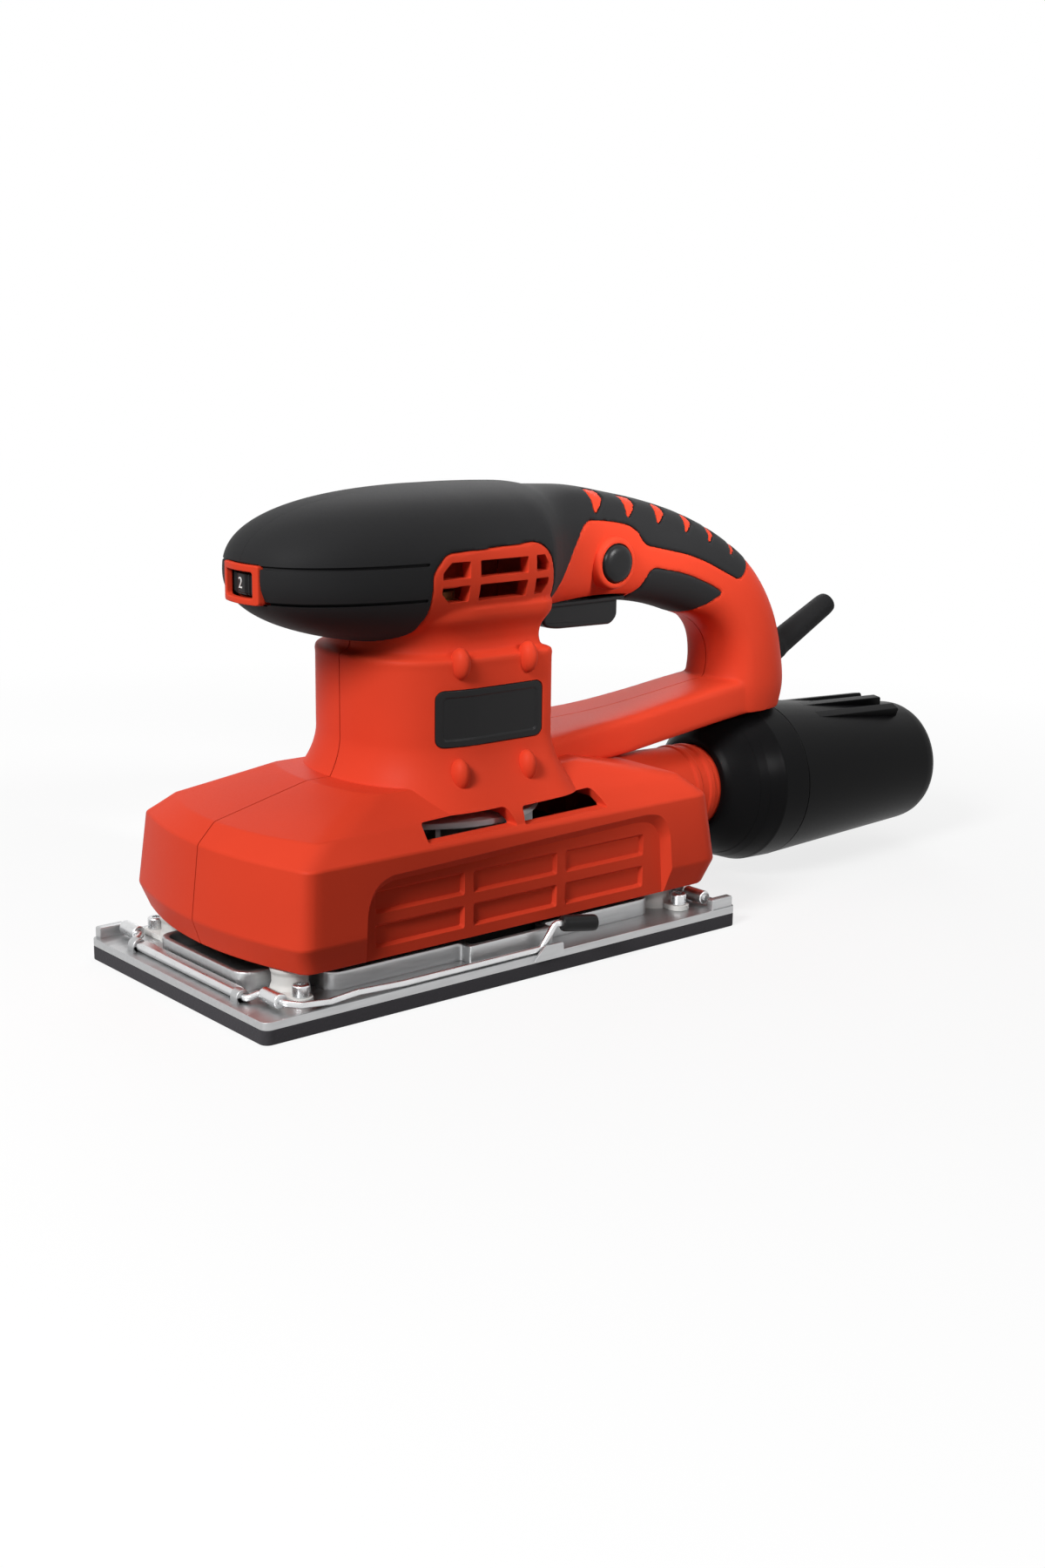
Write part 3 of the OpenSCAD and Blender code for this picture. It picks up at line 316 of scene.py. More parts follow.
def worked(ob, kind, **settings):
    step = ob.modifiers.new(kind, kind)
    for key, value in settings.items():
        setattr(step, key, value)
    graph = bpy.context.evaluated_depsgraph_get()
    mesh = bpy.data.meshes.new_from_object(ob.evaluated_get(graph))
    ob.modifiers.clear()
    old, ob.data = ob.data, mesh
    bpy.data.meshes.remove(old)
    return ob


def carve(ob, *cutters, how="DIFFERENCE", keep=False):
    for cutter in cutters:
        worked(ob, "BOOLEAN", operation=how, object=cutter, solver="MANIFOLD")
        if not keep:
            discard(cutter)
    return ob


def joined(name, *obs):
    bm = bmesh.new()
    for ob in obs:
        bm.from_mesh(ob.data)
        discard(ob)
    return thing(name, bm)


def melted(ob, voxel, passes):
    worked(ob, "REMESH", mode="VOXEL", voxel_size=voxel)
    return worked(ob, "SMOOTH", factor=0.5, iterations=passes)


print("helpers for objects and cuts ready")

# %% [markdown]
# ## Skins over sections
# A loft starts as one circle of edges. Each extrusion adds the next ring, and the vertices are set to their places in
# it by a number that they carry along. Two faces close the ends.

# %% Loft
def loft(name, count, rings):
    bm = bmesh.new()
    where = bm.verts.layers.float.new("where")
    verts = bmesh.ops.create_circle(bm, cap_ends=False, radius=1, segments=count)["verts"]
    for k, v in enumerate(verts):
        v[where] = k
    edges = first = bm.edges[:]
    for row, ring in enumerate(rings):
        if row:
            made = bmesh.ops.extrude_edge_only(bm, edges=edges)["geom"]
            verts = [g for g in made if isinstance(g, bmesh.types.BMVert)]
            edges = [g for g in made if isinstance(g, bmesh.types.BMEdge)]
        for v in verts:
            v.co = ring[round(v[where])]
    for rim in (first, edges):
        bmesh.ops.contextual_create(bm, geom=rim)
    bmesh.ops.recalc_face_normals(bm, faces=bm.faces)
    return thing(name, bm)


print("loft ready")

# %% [markdown]
# ## Outlines carried along and turned
# The rest are outlines. A point may carry a radius as its third number, and a vertex bevel rounds that corner. An
# outline that is carried along gives a prism, with draft where its far end is widened; one that is spun about an axis
# gives a turned piece, as from a lathe.

# %% Prisms and blocks
def bevelled(bm, geom, offset, segments, affect="EDGES"):
    bmesh.ops.bevel(bm, geom=geom, affect=affect, offset=offset, offset_type="OFFSET", segments=segments, profile=0.5,
                    material=-1)


def flat(bm, points, plane, level):
    spots = {"xy": lambda p: (p[0], p[1], level), "xz": lambda p: (p[0], level, p[1]),
             "yz": lambda p: (level, p[0], p[1])}[plane]
    verts = [bm.verts.new(spots(p)) for p in points]
    bm.faces.new(verts)
    for radius in sorted({p[2] for p in points if len(p) > 2}):
        corner = [v for v, p in zip(verts, points) if len(p) > 2 and p[2] == radius]
        bevelled(bm, corner, radius, 5, "VERTICES")
    return bm.faces[:][0]


def prism(name, points, plane, start, end, widen=1.0, edge=0.0, segments=2):
    bm = bmesh.new()
    face = flat(bm, points, plane, start)
    middle = face.calc_center_bounds()
    made = bmesh.ops.extrude_face_region(bm, geom=[face])["geom"]
    verts = [g for g in made if isinstance(g, bmesh.types.BMVert)]
    axis = {"xy": Vector((0, 0, 1)), "xz": Vector((0, 1, 0)), "yz": Vector((1, 0, 0))}[plane]
    bmesh.ops.translate(bm, verts=verts, vec=axis * (end - start))
    if widen != 1.0:
        size = widen if isinstance(widen, tuple) else [widen if axis[k] == 0 else 1 for k in range(3)]
        bmesh.ops.scale(bm, verts=verts, vec=size, space=Matrix.Translation(-middle))
    bmesh.ops.recalc_face_normals(bm, faces=bm.faces)
    if edge:
        bevelled(bm, [e for e in bm.edges if e.calc_face_angle(0) > 0.6], edge, segments)
    return thing(name, bm)


def slab(x0, x1, y0, y1, radius=0.0):
    return [(x0, y0, radius), (x1, y0, radius), (x1, y1, radius), (x0, y1, radius)] if radius else \
        [(x0, y0), (x1, y0), (x1, y1), (x0, y1)]


def block(name, low, high, edge=0.0):
    bm = bmesh.new()
    bmesh.ops.create_cube(bm, size=1)
    low, high = Vector(low), Vector(high)
    bmesh.ops.scale(bm, verts=bm.verts, vec=high - low)
    bmesh.ops.translate(bm, verts=bm.verts, vec=(low + high) / 2)
    if edge:
        bevelled(bm, bm.edges[:], edge, 2)
    return thing(name, bm)


print("prisms and blocks ready")

# %% Turned pieces
UP, LEFT, RIGHT = (0, 0, 1), (0, -1, 0), (0, 1, 0)


def turned(name, profile, steps=72, frame_of=None):
    bm = bmesh.new()
    face = flat(bm, profile, "xz", 0)
    outline = list(face.verts) + list(face.edges)
    bmesh.ops.delete(bm, geom=[face], context="FACES_ONLY")
    bmesh.ops.spin(bm, geom=outline, cent=(0, 0, 0), axis=UP, angle=math.tau, steps=steps, use_merge=True)
    bmesh.ops.remove_doubles(bm, verts=bm.verts, dist=0.002)
    bmesh.ops.dissolve_degenerate(bm, edges=bm.edges, dist=0.001)
    bmesh.ops.delete(bm, geom=[e for e in bm.edges if not e.link_faces], context="EDGES")
    bmesh.ops.recalc_face_normals(bm, faces=bm.faces)
    if frame_of:
        bmesh.ops.transform(bm, verts=bm.verts, matrix=frame_of)
    return thing(name, bm)


def along(base, direction):
    m = Vector(direction).to_track_quat("Z", "Y").to_matrix().to_4x4()
    m.translation = base
    return m


def post(name, base, direction, length, radius, steps=48):
    return turned(name, [(0, 0), (radius, 0), (radius, length), (0, length)], steps, along(base, direction))


print("turned pieces ready")

# %% [markdown]
# ## A finished piece
# A piece is finished when it is scaled to metres, shaded smooth with its true edges kept sharp, given its finish, and
# tied to the body it moves with, while the imported solids it stands for are hidden. Weighted normals let the large
# faces keep their shading right up to a narrow bevel.

# %% Finished pieces
made_pieces = []


def piece(ob, body, slot, *nodes, sharp=35):
    ob.data.transform(Matrix.Scale(MM, 4))
    ob.data.shade_smooth()
    ob.data.set_sharp_from_angle(angle=math.radians(sharp))
    worked(ob, "WEIGHTED_NORMAL", keep_sharp=True)
    ob.data.materials.clear()
    ob.data.materials.append(finishes[slot])
    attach(ob, body)
    if nodes:
        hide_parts(*nodes)
    made_pieces.append(ob.name)
    print(ob.name, "-", len(ob.data.polygons), "faces")


# %% [markdown]
# ## The sections of head and handle
# The palm head is half an egg that runs into a bar; the bar bends down behind the hand and stands on the lower bar.
# Each row below is one section: where it is, how it leans, its half width and its height up and down. A smooth curve
# through the rows gives as many sections as we like, so the skin has no facets.

# %% Section rows
HEAD_X, HEAD_L, HEAD_W, HEAD_UP, HEAD_DOWN, BELT = 8.0, 85.0, 39, 26.5, 28, 143.0
ROUND, BOXY = 2 / 2.35, 2 / 6
BAR = [(20, 143, 0, 38.5, 26.3, 27), (30, 143, 0, 36.5, 26, 25), (37, 143, 1, 31, 25.6, 23.5),
       (44, 143.2, 2, 25.5, 24, 22.5), (52, 143.4, 3, 21, 23.3, 22), (62, 143.5, 5, 18.8, 22.6, 22),
       (80, 142, 9, 17.6, 20.8, 20.4), (98, 138.5, 14, 17, 20.3, 18.6), (115, 133.5, 21, 17, 20, 17.2),
       (131, 126.5, 32, 17, 19.8, 15.8), (144.5, 117, 50, 17.2, 20.4, 13.4), (152.5, 104.5, 72, 17.5, 22, 11.8),
       (155, 92, 86, 18, 24, 11.6), (156, 80, 90, 18.3, 24.5, 15.5), (156, 71, 90, 17.5, 22.5, 18)]
LOWER = [(18, 68, 30, 10), (40, 68.5, 25, 8.5), (60, 69.5, 21.5, 8), (85, 70.5, 19, 8), (110, 73, 17.5, 8),
         (135, 76, 17.3, 8), (160, 78.5, 17, 8)]
GRIP_T = 2.2


def smooth_rows(rows, step):
    rows = np.array(rows, float)
    gap = np.linalg.norm(np.diff(rows[:, :2], axis=0), axis=1)
    at = np.concatenate([[0], np.cumsum(gap)])
    slope = np.gradient(rows, at, axis=0)
    out = []
    for k in range(len(rows) - 1):
        h = at[k + 1] - at[k]
        for t in np.linspace(0, 1, max(2, round(h / step)) + 1)[:-1]:
            a, b = 2 * t**3 - 3 * t**2 + 1, t**3 - 2 * t**2 + t
            c, d = -2 * t**3 + 3 * t**2, t**3 - t**2
            out.append(a * rows[k] + b * h * slope[k] + c * rows[k + 1] + d * h * slope[k + 1])
    return out + [rows[-1]]


print("bar sections:", len(smooth_rows(BAR, 2.4)))

# %% Head, handle and lower bar
def dome(s, p):
    return max(0.0, 1 - s**p) ** (1 / p)


def power(v, p):
    return math.copysign(abs(v) ** p, v)


def top_skin(name, g, count=128):
    rows = []
    for k in range(34):
        s = math.cos(math.radians(2.4 + 80.6 * k / 33))
        rows.append((HEAD_X - (HEAD_L - g) * s, BELT, 0, (HEAD_W - g) * dome(s, 2.6), (HEAD_UP - g) * dome(s, 2.5),
                     (HEAD_DOWN - g) * dome(s, 2.3)))
    rows += smooth_rows([rows[-1]] + [(x, z, t, w - g, u - g, d - g) for x, z, t, w, u, d in BAR], 2.4)[1:]
    rings = []
    for x, z, lean, wide, high, deep in rows:
        ring, lean = [], math.radians(lean)
        for k in range(count):
            a = math.tau * k / count
            q = (high if math.sin(a) > 0 else deep) * power(math.sin(a), ROUND)
            ring.append((x + q * math.sin(lean), wide * power(math.cos(a), ROUND), z + q * math.cos(lean)))
        rings.append(ring)
    return loft(name, count, rings)


def lower_skin(name, count=80):
    rings = []
    for x, z, wide, high in smooth_rows(LOWER, 4):
        rings.append([(x, wide * power(math.cos(a), BOXY), z + high * power(math.sin(a), BOXY))
                      for a in (math.tau * k / count for k in range(count))])
    return loft(name, count, rings)


print("skins of head, handle and lower bar ready")

# %% [markdown]
# ## The plans of neck and skirt
# Seen from above the neck is a squarish round in front, where the motor is, and a box with round corners behind. The
# skirt is a box with a bowed front. We walk along each outline by its length, so the points of one level stand over
# those of the next.

# %% Plans
NECK = [(52, 15), (58, 12.4), (63, 8.5), (68, 5), (73, 2.3), (78, 0.6), (81.5, 0), (85, 0), (95, 0), (105, 0),
        (110, 0), (112.2, 0), (112.9, -0.7), (113.6, -3.2), (115.5, -4.4), (118.5, -4.6), (121.5, -3.8),
        (126, -0.6), (130, 0)]
SKIRT = [(17.5, 50.6, -95.3, -87.4, 96.5), (27, 53.6, -98.7, -90.7, 100), (53, 53, -95.7, -87.2, 95),
         (60, 45.4, -89, -80, 88), (69, 32, -51, -46.5, 49)]
NECK_COUNT, SKIRT_COUNT = 144, 200


def arc(cx, cy, r, a0, a1, n):
    return [(cx + r * math.cos(math.radians(a)), cy + r * math.sin(math.radians(a))) for a in np.linspace(a0, a1, n)]


def walked(points, count):
    p = np.array(points + points[:1])
    at = np.concatenate([[0], np.cumsum(np.linalg.norm(np.diff(p, axis=0), axis=1))])
    t = np.linspace(0, at[-1], count, endpoint=False)
    return np.column_stack([np.interp(t, at, p[:, 0]), np.interp(t, at, p[:, 1])])


def neck_plan(g):
    r, full = 37 + g, 0.83
    front = [(-r * power(math.sin(a), full), r * power(math.cos(a), full)) for a in np.linspace(0, math.pi, 60)]
    return walked(front + arc(26, -30, 7 + g, -90, 0, 10) + arc(26, 30, 7 + g, 0, 90, 10), NECK_COUNT)


def skirt_plan(row, g=0.0):
    _, wide, middle, corner, back = row
    w, c, m, b, k = wide - g, corner + g, middle + g, back - g, 4.6
    front = [(m + (c - m) * t * t, -t * (w - k)) for t in np.linspace(-1, 1, 24)]
    return walked(front + arc(c + k, -(w - k), k, 180, 270, 8)[1:] + arc(b - k, -(w - k), k, -90, 0, 8)
                  + arc(b - k, w - k, k, 0, 90, 8) + arc(c + k, w - k, k, 90, 180, 8)[:-1], SKIRT_COUNT)


def neck_skin(name, g=0.0, low=None, high=None):
    rows = smooth_rows([(0, z, e) for z, e in NECK], 1.5) if low is None else [(0, low, 0), (0, high, 0)]
    return loft(name, NECK_COUNT, [[(x, y, z) for x, y in neck_plan(e + g)] for _, z, e in rows])


def skirt_skin(name, g=0.0, rows=SKIRT):
    return loft(name, SKIRT_COUNT, [[(x, y, row[0]) for x, y in skirt_plan(row, g)] for row in rows])


print("neck outline", len(neck_plan(0)), "points, skirt outline", len(skirt_plan(SKIRT[0])), "points")

# %% [markdown]
# ## Room for the soft grip
# On the real tool the black grip is a second shot of soft plastic, moulded into a shallow bed in the red shell. Its
# outline is drawn in the side view and cut straight through: the large field over head and bar, a finger pad under
# the bar, and six teardrops along the top where the red stands through. The same outline, with the teardrops a hair
# larger, later cuts the grip itself, which leaves a fine joint line round each of them.

# %% Grip outline
GRIP = [(-120, 190), (-120, 100), (-45, 100), (-30, 114, 5), (-25, 121, 3), (-24.2, 130, 2), (-24.2, 143.5, 2),
        (-18.5, 149.7, 2), (22, 151.5, 3), (28, 147.5, 3), (31, 139, 4), (33, 131, 1.5), (39, 127.5, 1.5), (45, 133, 4),
        (61, 154.5, 4), (78, 153, 8), (88, 150, 4), (92.5, 143, 3), (103.5, 140.7, 6), (120.5, 136.7, 8),
        (136, 129.7, 8), (144.4, 125.6, 2), (151.3, 129.8, 3), (170, 150), (170, 190)]
FINGER = [(97, 134.2, 3), (115, 130.5, 6), (130.3, 124.3, 3), (135.1, 121.4, 1.5), (121, 112.5, 3), (108, 104),
          (104, 95), (80, 95), (89.7, 123.6, 1.5), (92.9, 125.8, 2), (94.9, 131.3, 2)]
WINDOWS = [(71.5, 161.5, 9.5), (88.5, 158.2, 8.5), (104.5, 154, 7.2), (119.5, 149.2, 6.2), (132.5, 144, 5.2),
           (145, 137.5, 4.2)]


def teardrop(x, z, h, grow=0.0):
    top, tail = Vector((x + 1.2, z + h * 0.16)), Vector((x - 3.2, z - h * 0.46))
    lean = math.degrees(math.atan2(top.y - tail.y, top.x - tail.x))
    return arc(top.x, top.y, h * 0.34 + grow, lean - 102, lean + 102, 16) + \
        arc(tail.x, tail.y, h * 0.08 + grow, lean + 110, lean + 250, 8)


def grip_room(name, windows=0.0):
    room = prism(name, GRIP, "xz", -80, 80)
    for x, z, h in WINDOWS:
        for y0, y1 in ((-60, -4.5), (4.5, 60)):
            carve(room, prism("window", teardrop(x, z, h, windows), "xz", y0, y1))
    return joined(name, room, prism("finger_pad", FINGER, "xz", -80, 80))


bed = grip_room("grip_room")
print("grip room has", len(bed.data.polygons), "faces")

# %% [markdown]
# ## The red shell
# The two halves of the housing are injection mouldings, screwed together from the right. We build the outside of
# both as one body. Head, handle, neck, lower bar and the boss of the cord guard are melted together on the voxel grid,
# which rounds the corners between them by about a millimetre, and that is what the light catches on a real moulding.
# The skirt, the small lugs on the neck and the raised collar of the lock button are crisper, so they are joined on
# after the melting. The skirt's creases get a narrow bevel instead.

# %% Outside of the shell
GUARD = along((166, 0, 84), (math.sin(math.radians(63)), 0, math.cos(math.radians(63))))
BUTTON_X, BUTTON_Z = 75, 137.8
boss = turned("guard_boss", [(0, -12), (10.5, -12), (10.5, 7, 1), (8.8, 9.5, 1), (0, 9.5)], 48, GUARD)
shell = melted(joined("shell", carve(top_skin("head_and_bar", 0.0), bed), top_skin("grip_bed", GRIP_T),
                      neck_skin("neck"), lower_skin("lower_bar"), boss), 0.75, 3)
skirt = skirt_skin("skirt")
bm = bmesh.new()
bm.from_mesh(skirt.data)
creases = [e for e in bm.edges if abs(e.verts[0].co.z - e.verts[1].co.z) < 0.01 and e.calc_face_angle(0) > 0.1]
bevelled(bm, creases, 0.8, 3)
bm.to_mesh(skirt.data)
bm.free()
lugs = []
for x, y, z in ((-11, 35.6, 111.2), (18, 37.0, 111), (-13, 38.2, 72.8), (16, 39.6, 72.5)):
    for s in (-1, 1):
        bm = bmesh.new()
        bmesh.ops.create_uvsphere(bm, u_segments=28, v_segments=18, radius=1)
        bmesh.ops.scale(bm, verts=bm.verts, vec=(3.2, 4.2, 5.6))
        bmesh.ops.translate(bm, verts=bm.verts, vec=(x, s * y, z))
        lugs.append(thing("lug", bm))
collar = turned("collar", [(0, 0), (10.2, 0), (9.8, 5.4, 0.8), (8.8, 6.4, 0.6), (0, 6.4)], 64,
                along((BUTTON_X, -14, BUTTON_Z), LEFT))
carve(shell, skirt, joined("lugs", *lugs, collar), how="UNION")
print("shell:", len(shell.data.polygons), "faces")

# %% [markdown]
# ## The rooms inside
# A shell is mostly hollow: the fan turns in the skirt, the motor stands in the neck between its two bearing seats, the
# brushes and the speed control sit in the head, and the switch in the handle. The rooms are cut out as turned
# profiles and boxes. The spigot at the back and the cord guard get their seats in the same way.

# %% Hollows
LEGS = [(sx * 83, sy * 36) for sx in (-1, 1) for sy in (-1, 1)]
DUST = along((98, 0, 41.5), (math.cos(math.radians(2.6)), 0, -math.sin(math.radians(2.6))))
SCREWS = [(-22, 67), (22, 67), (105, 128), (150, 110), (156, 79), (46, 152)]
DIAL_X, DIAL_ROOM = -57.5, 19.0
fan_room = skirt_skin("fan_room", 5.2, [(10, 50.5, -95.5, -88, 95), *SKIRT[1:3], (57.5, 47, -90, -81, 88)])
for x, y in LEGS:
    carve(fan_room, post("tower", (x, y, 17.5), UP, 60, 8.8, 32))
MOTOR = [(0, 50), (6.5, 50), (6.5, 64), (13.2, 64), (13.2, 73), (27, 73), (27, 76), (30.4, 76), (30.4, 112),
         (27.5, 112), (27.5, 131), (5.5, 131), (5.5, 138), (11.2, 138), (11.2, 148), (0, 148)]
motor_room = turned("motor_room", MOTOR, 72)
head_room = carve(top_skin("head_room", GRIP_T + 2.6, 64), block("clip", (-54, -60, 119), (34, 60, 179)),
                  how="INTERSECT")
carve(head_room, post("tower", (0, 0, 134), UP, 60, 15, 40))
dial_room = post("dial_room", (DIAL_X, 0, 136.1), UP, 8.1, DIAL_ROOM, 72)
switch_room = block("switch_room", (49.8, -9.2, 129.3), (90.2, 9.2, 149.7))
trigger_way = block("trigger_way", (49.2, -8.8, 98), (86.9, 8.8, 122.5))
trigger_room = block("trigger_room", (47.5, -11, 122), (88.4, 11, 130))
guard_seat = turned("guard_seat", [(0, -2.2), (8.2, -2.2), (8.2, 4.2), (6.1, 4.2), (6.1, 40), (0, 40)], 40, GUARD)
SEAT = [(0, -30), (20.2, -30), (20.2, -8), (17.2, -8), (17.2, 45), (34.2, 45), (34.2, 125), (0, 125)]
spigot_seat = turned("spigot_seat", SEAT, 64, DUST)
carve(shell, joined("rooms", fan_room, head_room, switch_room, trigger_way, guard_seat),
      joined("rooms", motor_room, dial_room, trigger_room, spigot_seat),
      block("module_room", (-65, -13, 132), (-41, 13, 144)))
print("hollowed shell:", len(shell.data.polygons), "faces")

# %% [markdown]
# ## Openings in the sides
# Both sides carry the same openings: two slanted air slots above the skirt's edge, through which the pale fan shows, a
# sunk panel with six pockets, and the framed air vents of the head. A cutter that widens outwards gives each wall the
# slope by which a moulding leaves its mould, and that slope takes the light.

# %% Side openings
PANEL = [(-62, 12), (-60.6, 37.5, 4), (-55, 43.8, 5), (65, 46.5, 6), (72, 42.5, 5), (74.5, 12)]


def both_sides(name, points, inner, outer=60.0, widen=1.0):
    return [prism(name, points, "xz", s * inner, s * outer, widen) for s in (-1, 1)]


cuts = both_sides("panel", PANEL, 50.0, 55, (1.055, 1, 1.32))
for x in (-36.5, 6):
    cuts += both_sides("air_slot", [(x, 54.3, 1.2), (x + 1.2, 60.4, 1.2), (x + 36.8, 61.3, 1.6),
                                    (x + 39.4, 54.7, 1.2)], 32)
for z, cut in ((132.8, 0), (141.0, 1)):
    front_end = [(-17, z + 5.8, 0.4), (-20.5, z + 2.4, 0.4), (-20.5, z, 0.5)] if cut else \
        [(-20.5, z + 5.8, 0.5), (-20.5, z + 3.4, 0.4), (-17, z, 0.4)]
    rear_end = [(27, z, 0.5), (27, z + 2.4, 0.4), (24.5, z + 5.8, 0.4)] if cut else \
        [(24.5, z, 0.4), (27, z + 3.4, 0.4), (27, z + 5.8, 0.5)]
    cuts += both_sides("vent", [(-9, z, 0.5), (-9, z + 5.8, 0.5)] + front_end, 24)
    cuts += both_sides("vent", slab(-4.8, 16.5, z, z + 5.8, 0.5), 24)
    cuts += both_sides("vent", [(20.5, z + 5.8, 0.5), (20.5, z, 0.5)] + rear_end, 24)
pockets = []
for i in range(3):
    for j in range(2):
        x, z = -57 + 42.0 * i, 21.5 + 12.0 * j
        pockets += both_sides("pocket", slab(x, x + 36, z + 0.9, z + 7.1, 0.8), 48.6, 51.2, (1.11, 1, 1.62))
carve(shell, joined("openings", *cuts), joined("pockets", *pockets))
print("side openings cut:", len(shell.data.polygons), "faces")

# %% [markdown]
# ## Left and right half
# The left half has the bore of the lock button and the shallow bed of the plate on the neck; the right half has the
# wells of the six screws. A gap of half a millimetre along the middle is the parting line that runs down the
# nose of the tool.

# %% Part the halves
def plate_form(name, outer, inner, grow):
    form = prism(name, slab(-20 - grow, 25 + grow, 82 - grow, 102 + grow, 3 + grow), "xz", -60, -20)
    if outer is not None:
        carve(form, neck_skin("plate_face", outer, 70, 115), how="INTERSECT")
    return carve(form, neck_skin("plate_back", inner, 60, 120))


def halves(ob, gap):
    other = ob.copy()
    other.data = ob.data.copy()
    scene.collection.objects.link(other)
    ob.name, other.name = ob.name + "_left", ob.name + "_right"
    return (carve(ob, block("left_side", (-300, -200, -50), (500, -gap, 400)), how="INTERSECT"),
            carve(other, block("right_side", (-300, gap, -50), (500, 200, 400)), how="INTERSECT"))


shell_left, shell_right = halves(shell, 0.24)
WELL = [(0, -1), (1.8, -1), (1.8, 12), (3.7, 12), (3.9, 80), (0, 80)]
NOSE_X = -49.8
nose = carve(prism("nose_pocket", slab(-10.55, 10.55, 133.55, 147.25, 0.8), "yz", -90, -69.95),
             post("nose_core", (NOSE_X, 0, 120), UP, 40, 24.5, 96))
window = block("dial_window", (-90, -8.2, 135.2), (-60, 8.2, 145.1))
carve(shell_left, post("button_bore", (BUTTON_X, -9, BUTTON_Z), LEFT, 40, 7.6, 56),
      plate_form("plate_bed", None, -1.0, 0.25),
      joined("screw_holes", *[post("hole", (x, 0, z), LEFT, 12, 1.8, 20) for x, z in SCREWS]))
carve(shell_left, nose, window, keep=True)
carve(shell_right, joined("screw_wells", *[turned("well", WELL, 32, along((x, 0, z), RIGHT)) for x, z in SCREWS]),
      nose, window)
piece(shell_left, "housing", "housing_red", "housing_left", sharp=38)
piece(shell_right, "housing", "housing_red", "housing_right", sharp=38)

# %% [markdown]
# ## The soft grip
# The grip is a skin of even thickness: the outside of the head, less the bed it lies on, cut by its own outline. It
# is melted on a finer grid than the shell, so its lips come out softly rounded. Two creases run from the frame in the
# nose to the vents and leave a belt between them, a line that helps the fingers to find the middle of the head.

# %% Grip halves
grip = carve(top_skin("grip", -0.2), top_skin("grip_under", GRIP_T + 0.02))
carve(grip, grip_room("grip_cut", 0.25), how="INTERSECT")
melted(carve(grip, neck_skin("neck_clear", 0.25)), 0.72, 3)
creases = joined("creases", *[prism("crease", slab(-100, -25.5, z - 0.6, z + 0.6, 0.5), "xz", -60, 60)
                              for z in (146.6, 134.4)])
carve(grip, carve(creases, top_skin("keep", 0.85, 96)))
nose_cut = prism("nose_cut", slab(-10.8, 10.8, 133.3, 147.5, 1.0), "yz", -90, -66)
collar_cut = post("collar_cut", (BUTTON_X, -9.5, BUTTON_Z), LEFT, 40, 10.4, 56)
carve(grip, joined("openings", nose_cut, collar_cut), post("wheel_room", (DIAL_X, 0, 135.9), UP, 8.5, DIAL_ROOM, 72))
grip_left, grip_right = halves(grip, 0.04)
carve(grip_right, joined("wells", *[post("well", (x, 8, z), RIGHT, 60, 3.9, 32) for x, z in SCREWS]))
piece(grip_left, "housing", "grip_black", "soft_grip_left", sharp=50)
piece(grip_right, "housing", "grip_black", "soft_grip_right", sharp=50)

# %% [markdown]
# ## Nose frame and speed dial
# A red frame in the nose shows the edge of a thumb wheel. The frame follows the round nose, so it is cut from a
# cylinder's wall. The wheel has fine ribs for the thumb and a smooth land under each numeral; its six numerals are
# text turned into mesh and wrapped round the rim, one for each step of the wheel's travel.

# %% Nose frame
bezel = prism("nose_frame", slab(-10.4, 10.4, 133.7, 147.1, 1.0), "yz", -84, -70.1)
carve(bezel, post("outside", (NOSE_X, 0, 120), UP, 40, 28.6, 120), how="INTERSECT")
carve(bezel, post("inside", (NOSE_X, 0, 110), UP, 60, 24.7, 120),
      prism("window", slab(-7.6, 7.6, 136.1, 144.5, 0.6), "yz", -74.6, -79.5, widen=(1, 1.05, 1.1)),
      post("wheel_clear", (DIAL_X, 0, 110), UP, 60, DIAL_ROOM, 96))
melted(bezel, 0.3, 4)
piece(bezel, "housing", "housing_red", "dial_bezel", sharp=60)

# %% Speed dial
WHEEL_R, WHEEL_COUNT, RIBS, MARK_AT, MARK_STEP, LAND = 18.4, 864, 72, 176, 45, 8.5


def wheel_ring(z, inset):
    ring = []
    for k in range(WHEEL_COUNT):
        a = math.tau * k / WHEEL_COUNT
        step = (k / WHEEL_COUNT * 360 - MARK_AT) % MARK_STEP
        on_land = min(step, MARK_STEP - step) < LAND
        r = WHEEL_R - inset + (0.0 if on_land else 0.45 * max(0.0, math.sin(a * RIBS)) - 0.25)
        ring.append((DIAL_X + r * math.cos(a), r * math.sin(a), z))
    return ring


wheel = loft("speed_wheel", WHEEL_COUNT, [wheel_ring(z, inset) for z, inset in (
    (136.4, 0.7), (136.8, 0.15), (137.2, 0), (143.1, 0), (143.5, 0.15), (143.9, 0.7))])
carve(wheel, post("dish", (DIAL_X, 0, 142.4), UP, 5, 12, 64),
      post("spindle", (DIAL_X, 0, 130), UP, 11.9, 2.52, 40))
piece(wheel, "speed_dial", "trim_black", "speed_dial", sharp=40)

# %% Numerals
marks = bmesh.new()
for number in range(1, 7):
    word = bpy.data.curves.new("numeral", "FONT")
    word.body, word.size, word.align_x, word.align_y, word.extrude = str(number), 5.4, "CENTER", "CENTER", 0.12
    word.resolution_u = 3
    text = bpy.data.objects.new("numeral", word)
    scene.collection.objects.link(text)
    mesh = bpy.data.meshes.new_from_object(text.evaluated_get(bpy.context.evaluated_depsgraph_get()))
    bpy.data.objects.remove(text)
    bpy.data.curves.remove(word)
    at = math.radians(MARK_AT - MARK_STEP * (number - 2))
    for v in mesh.vertices:
        a, r = at + v.co.x / WHEEL_R, WHEEL_R + 0.03 + v.co.z
        v.co = (DIAL_X + r * math.cos(a), r * math.sin(a), 140.15 + v.co.y)
    marks.from_mesh(mesh)
    bpy.data.meshes.remove(mesh)
bmesh.ops.recalc_face_normals(marks, faces=marks.faces)
piece(thing("numerals", marks), "speed_dial", "numeral_white")

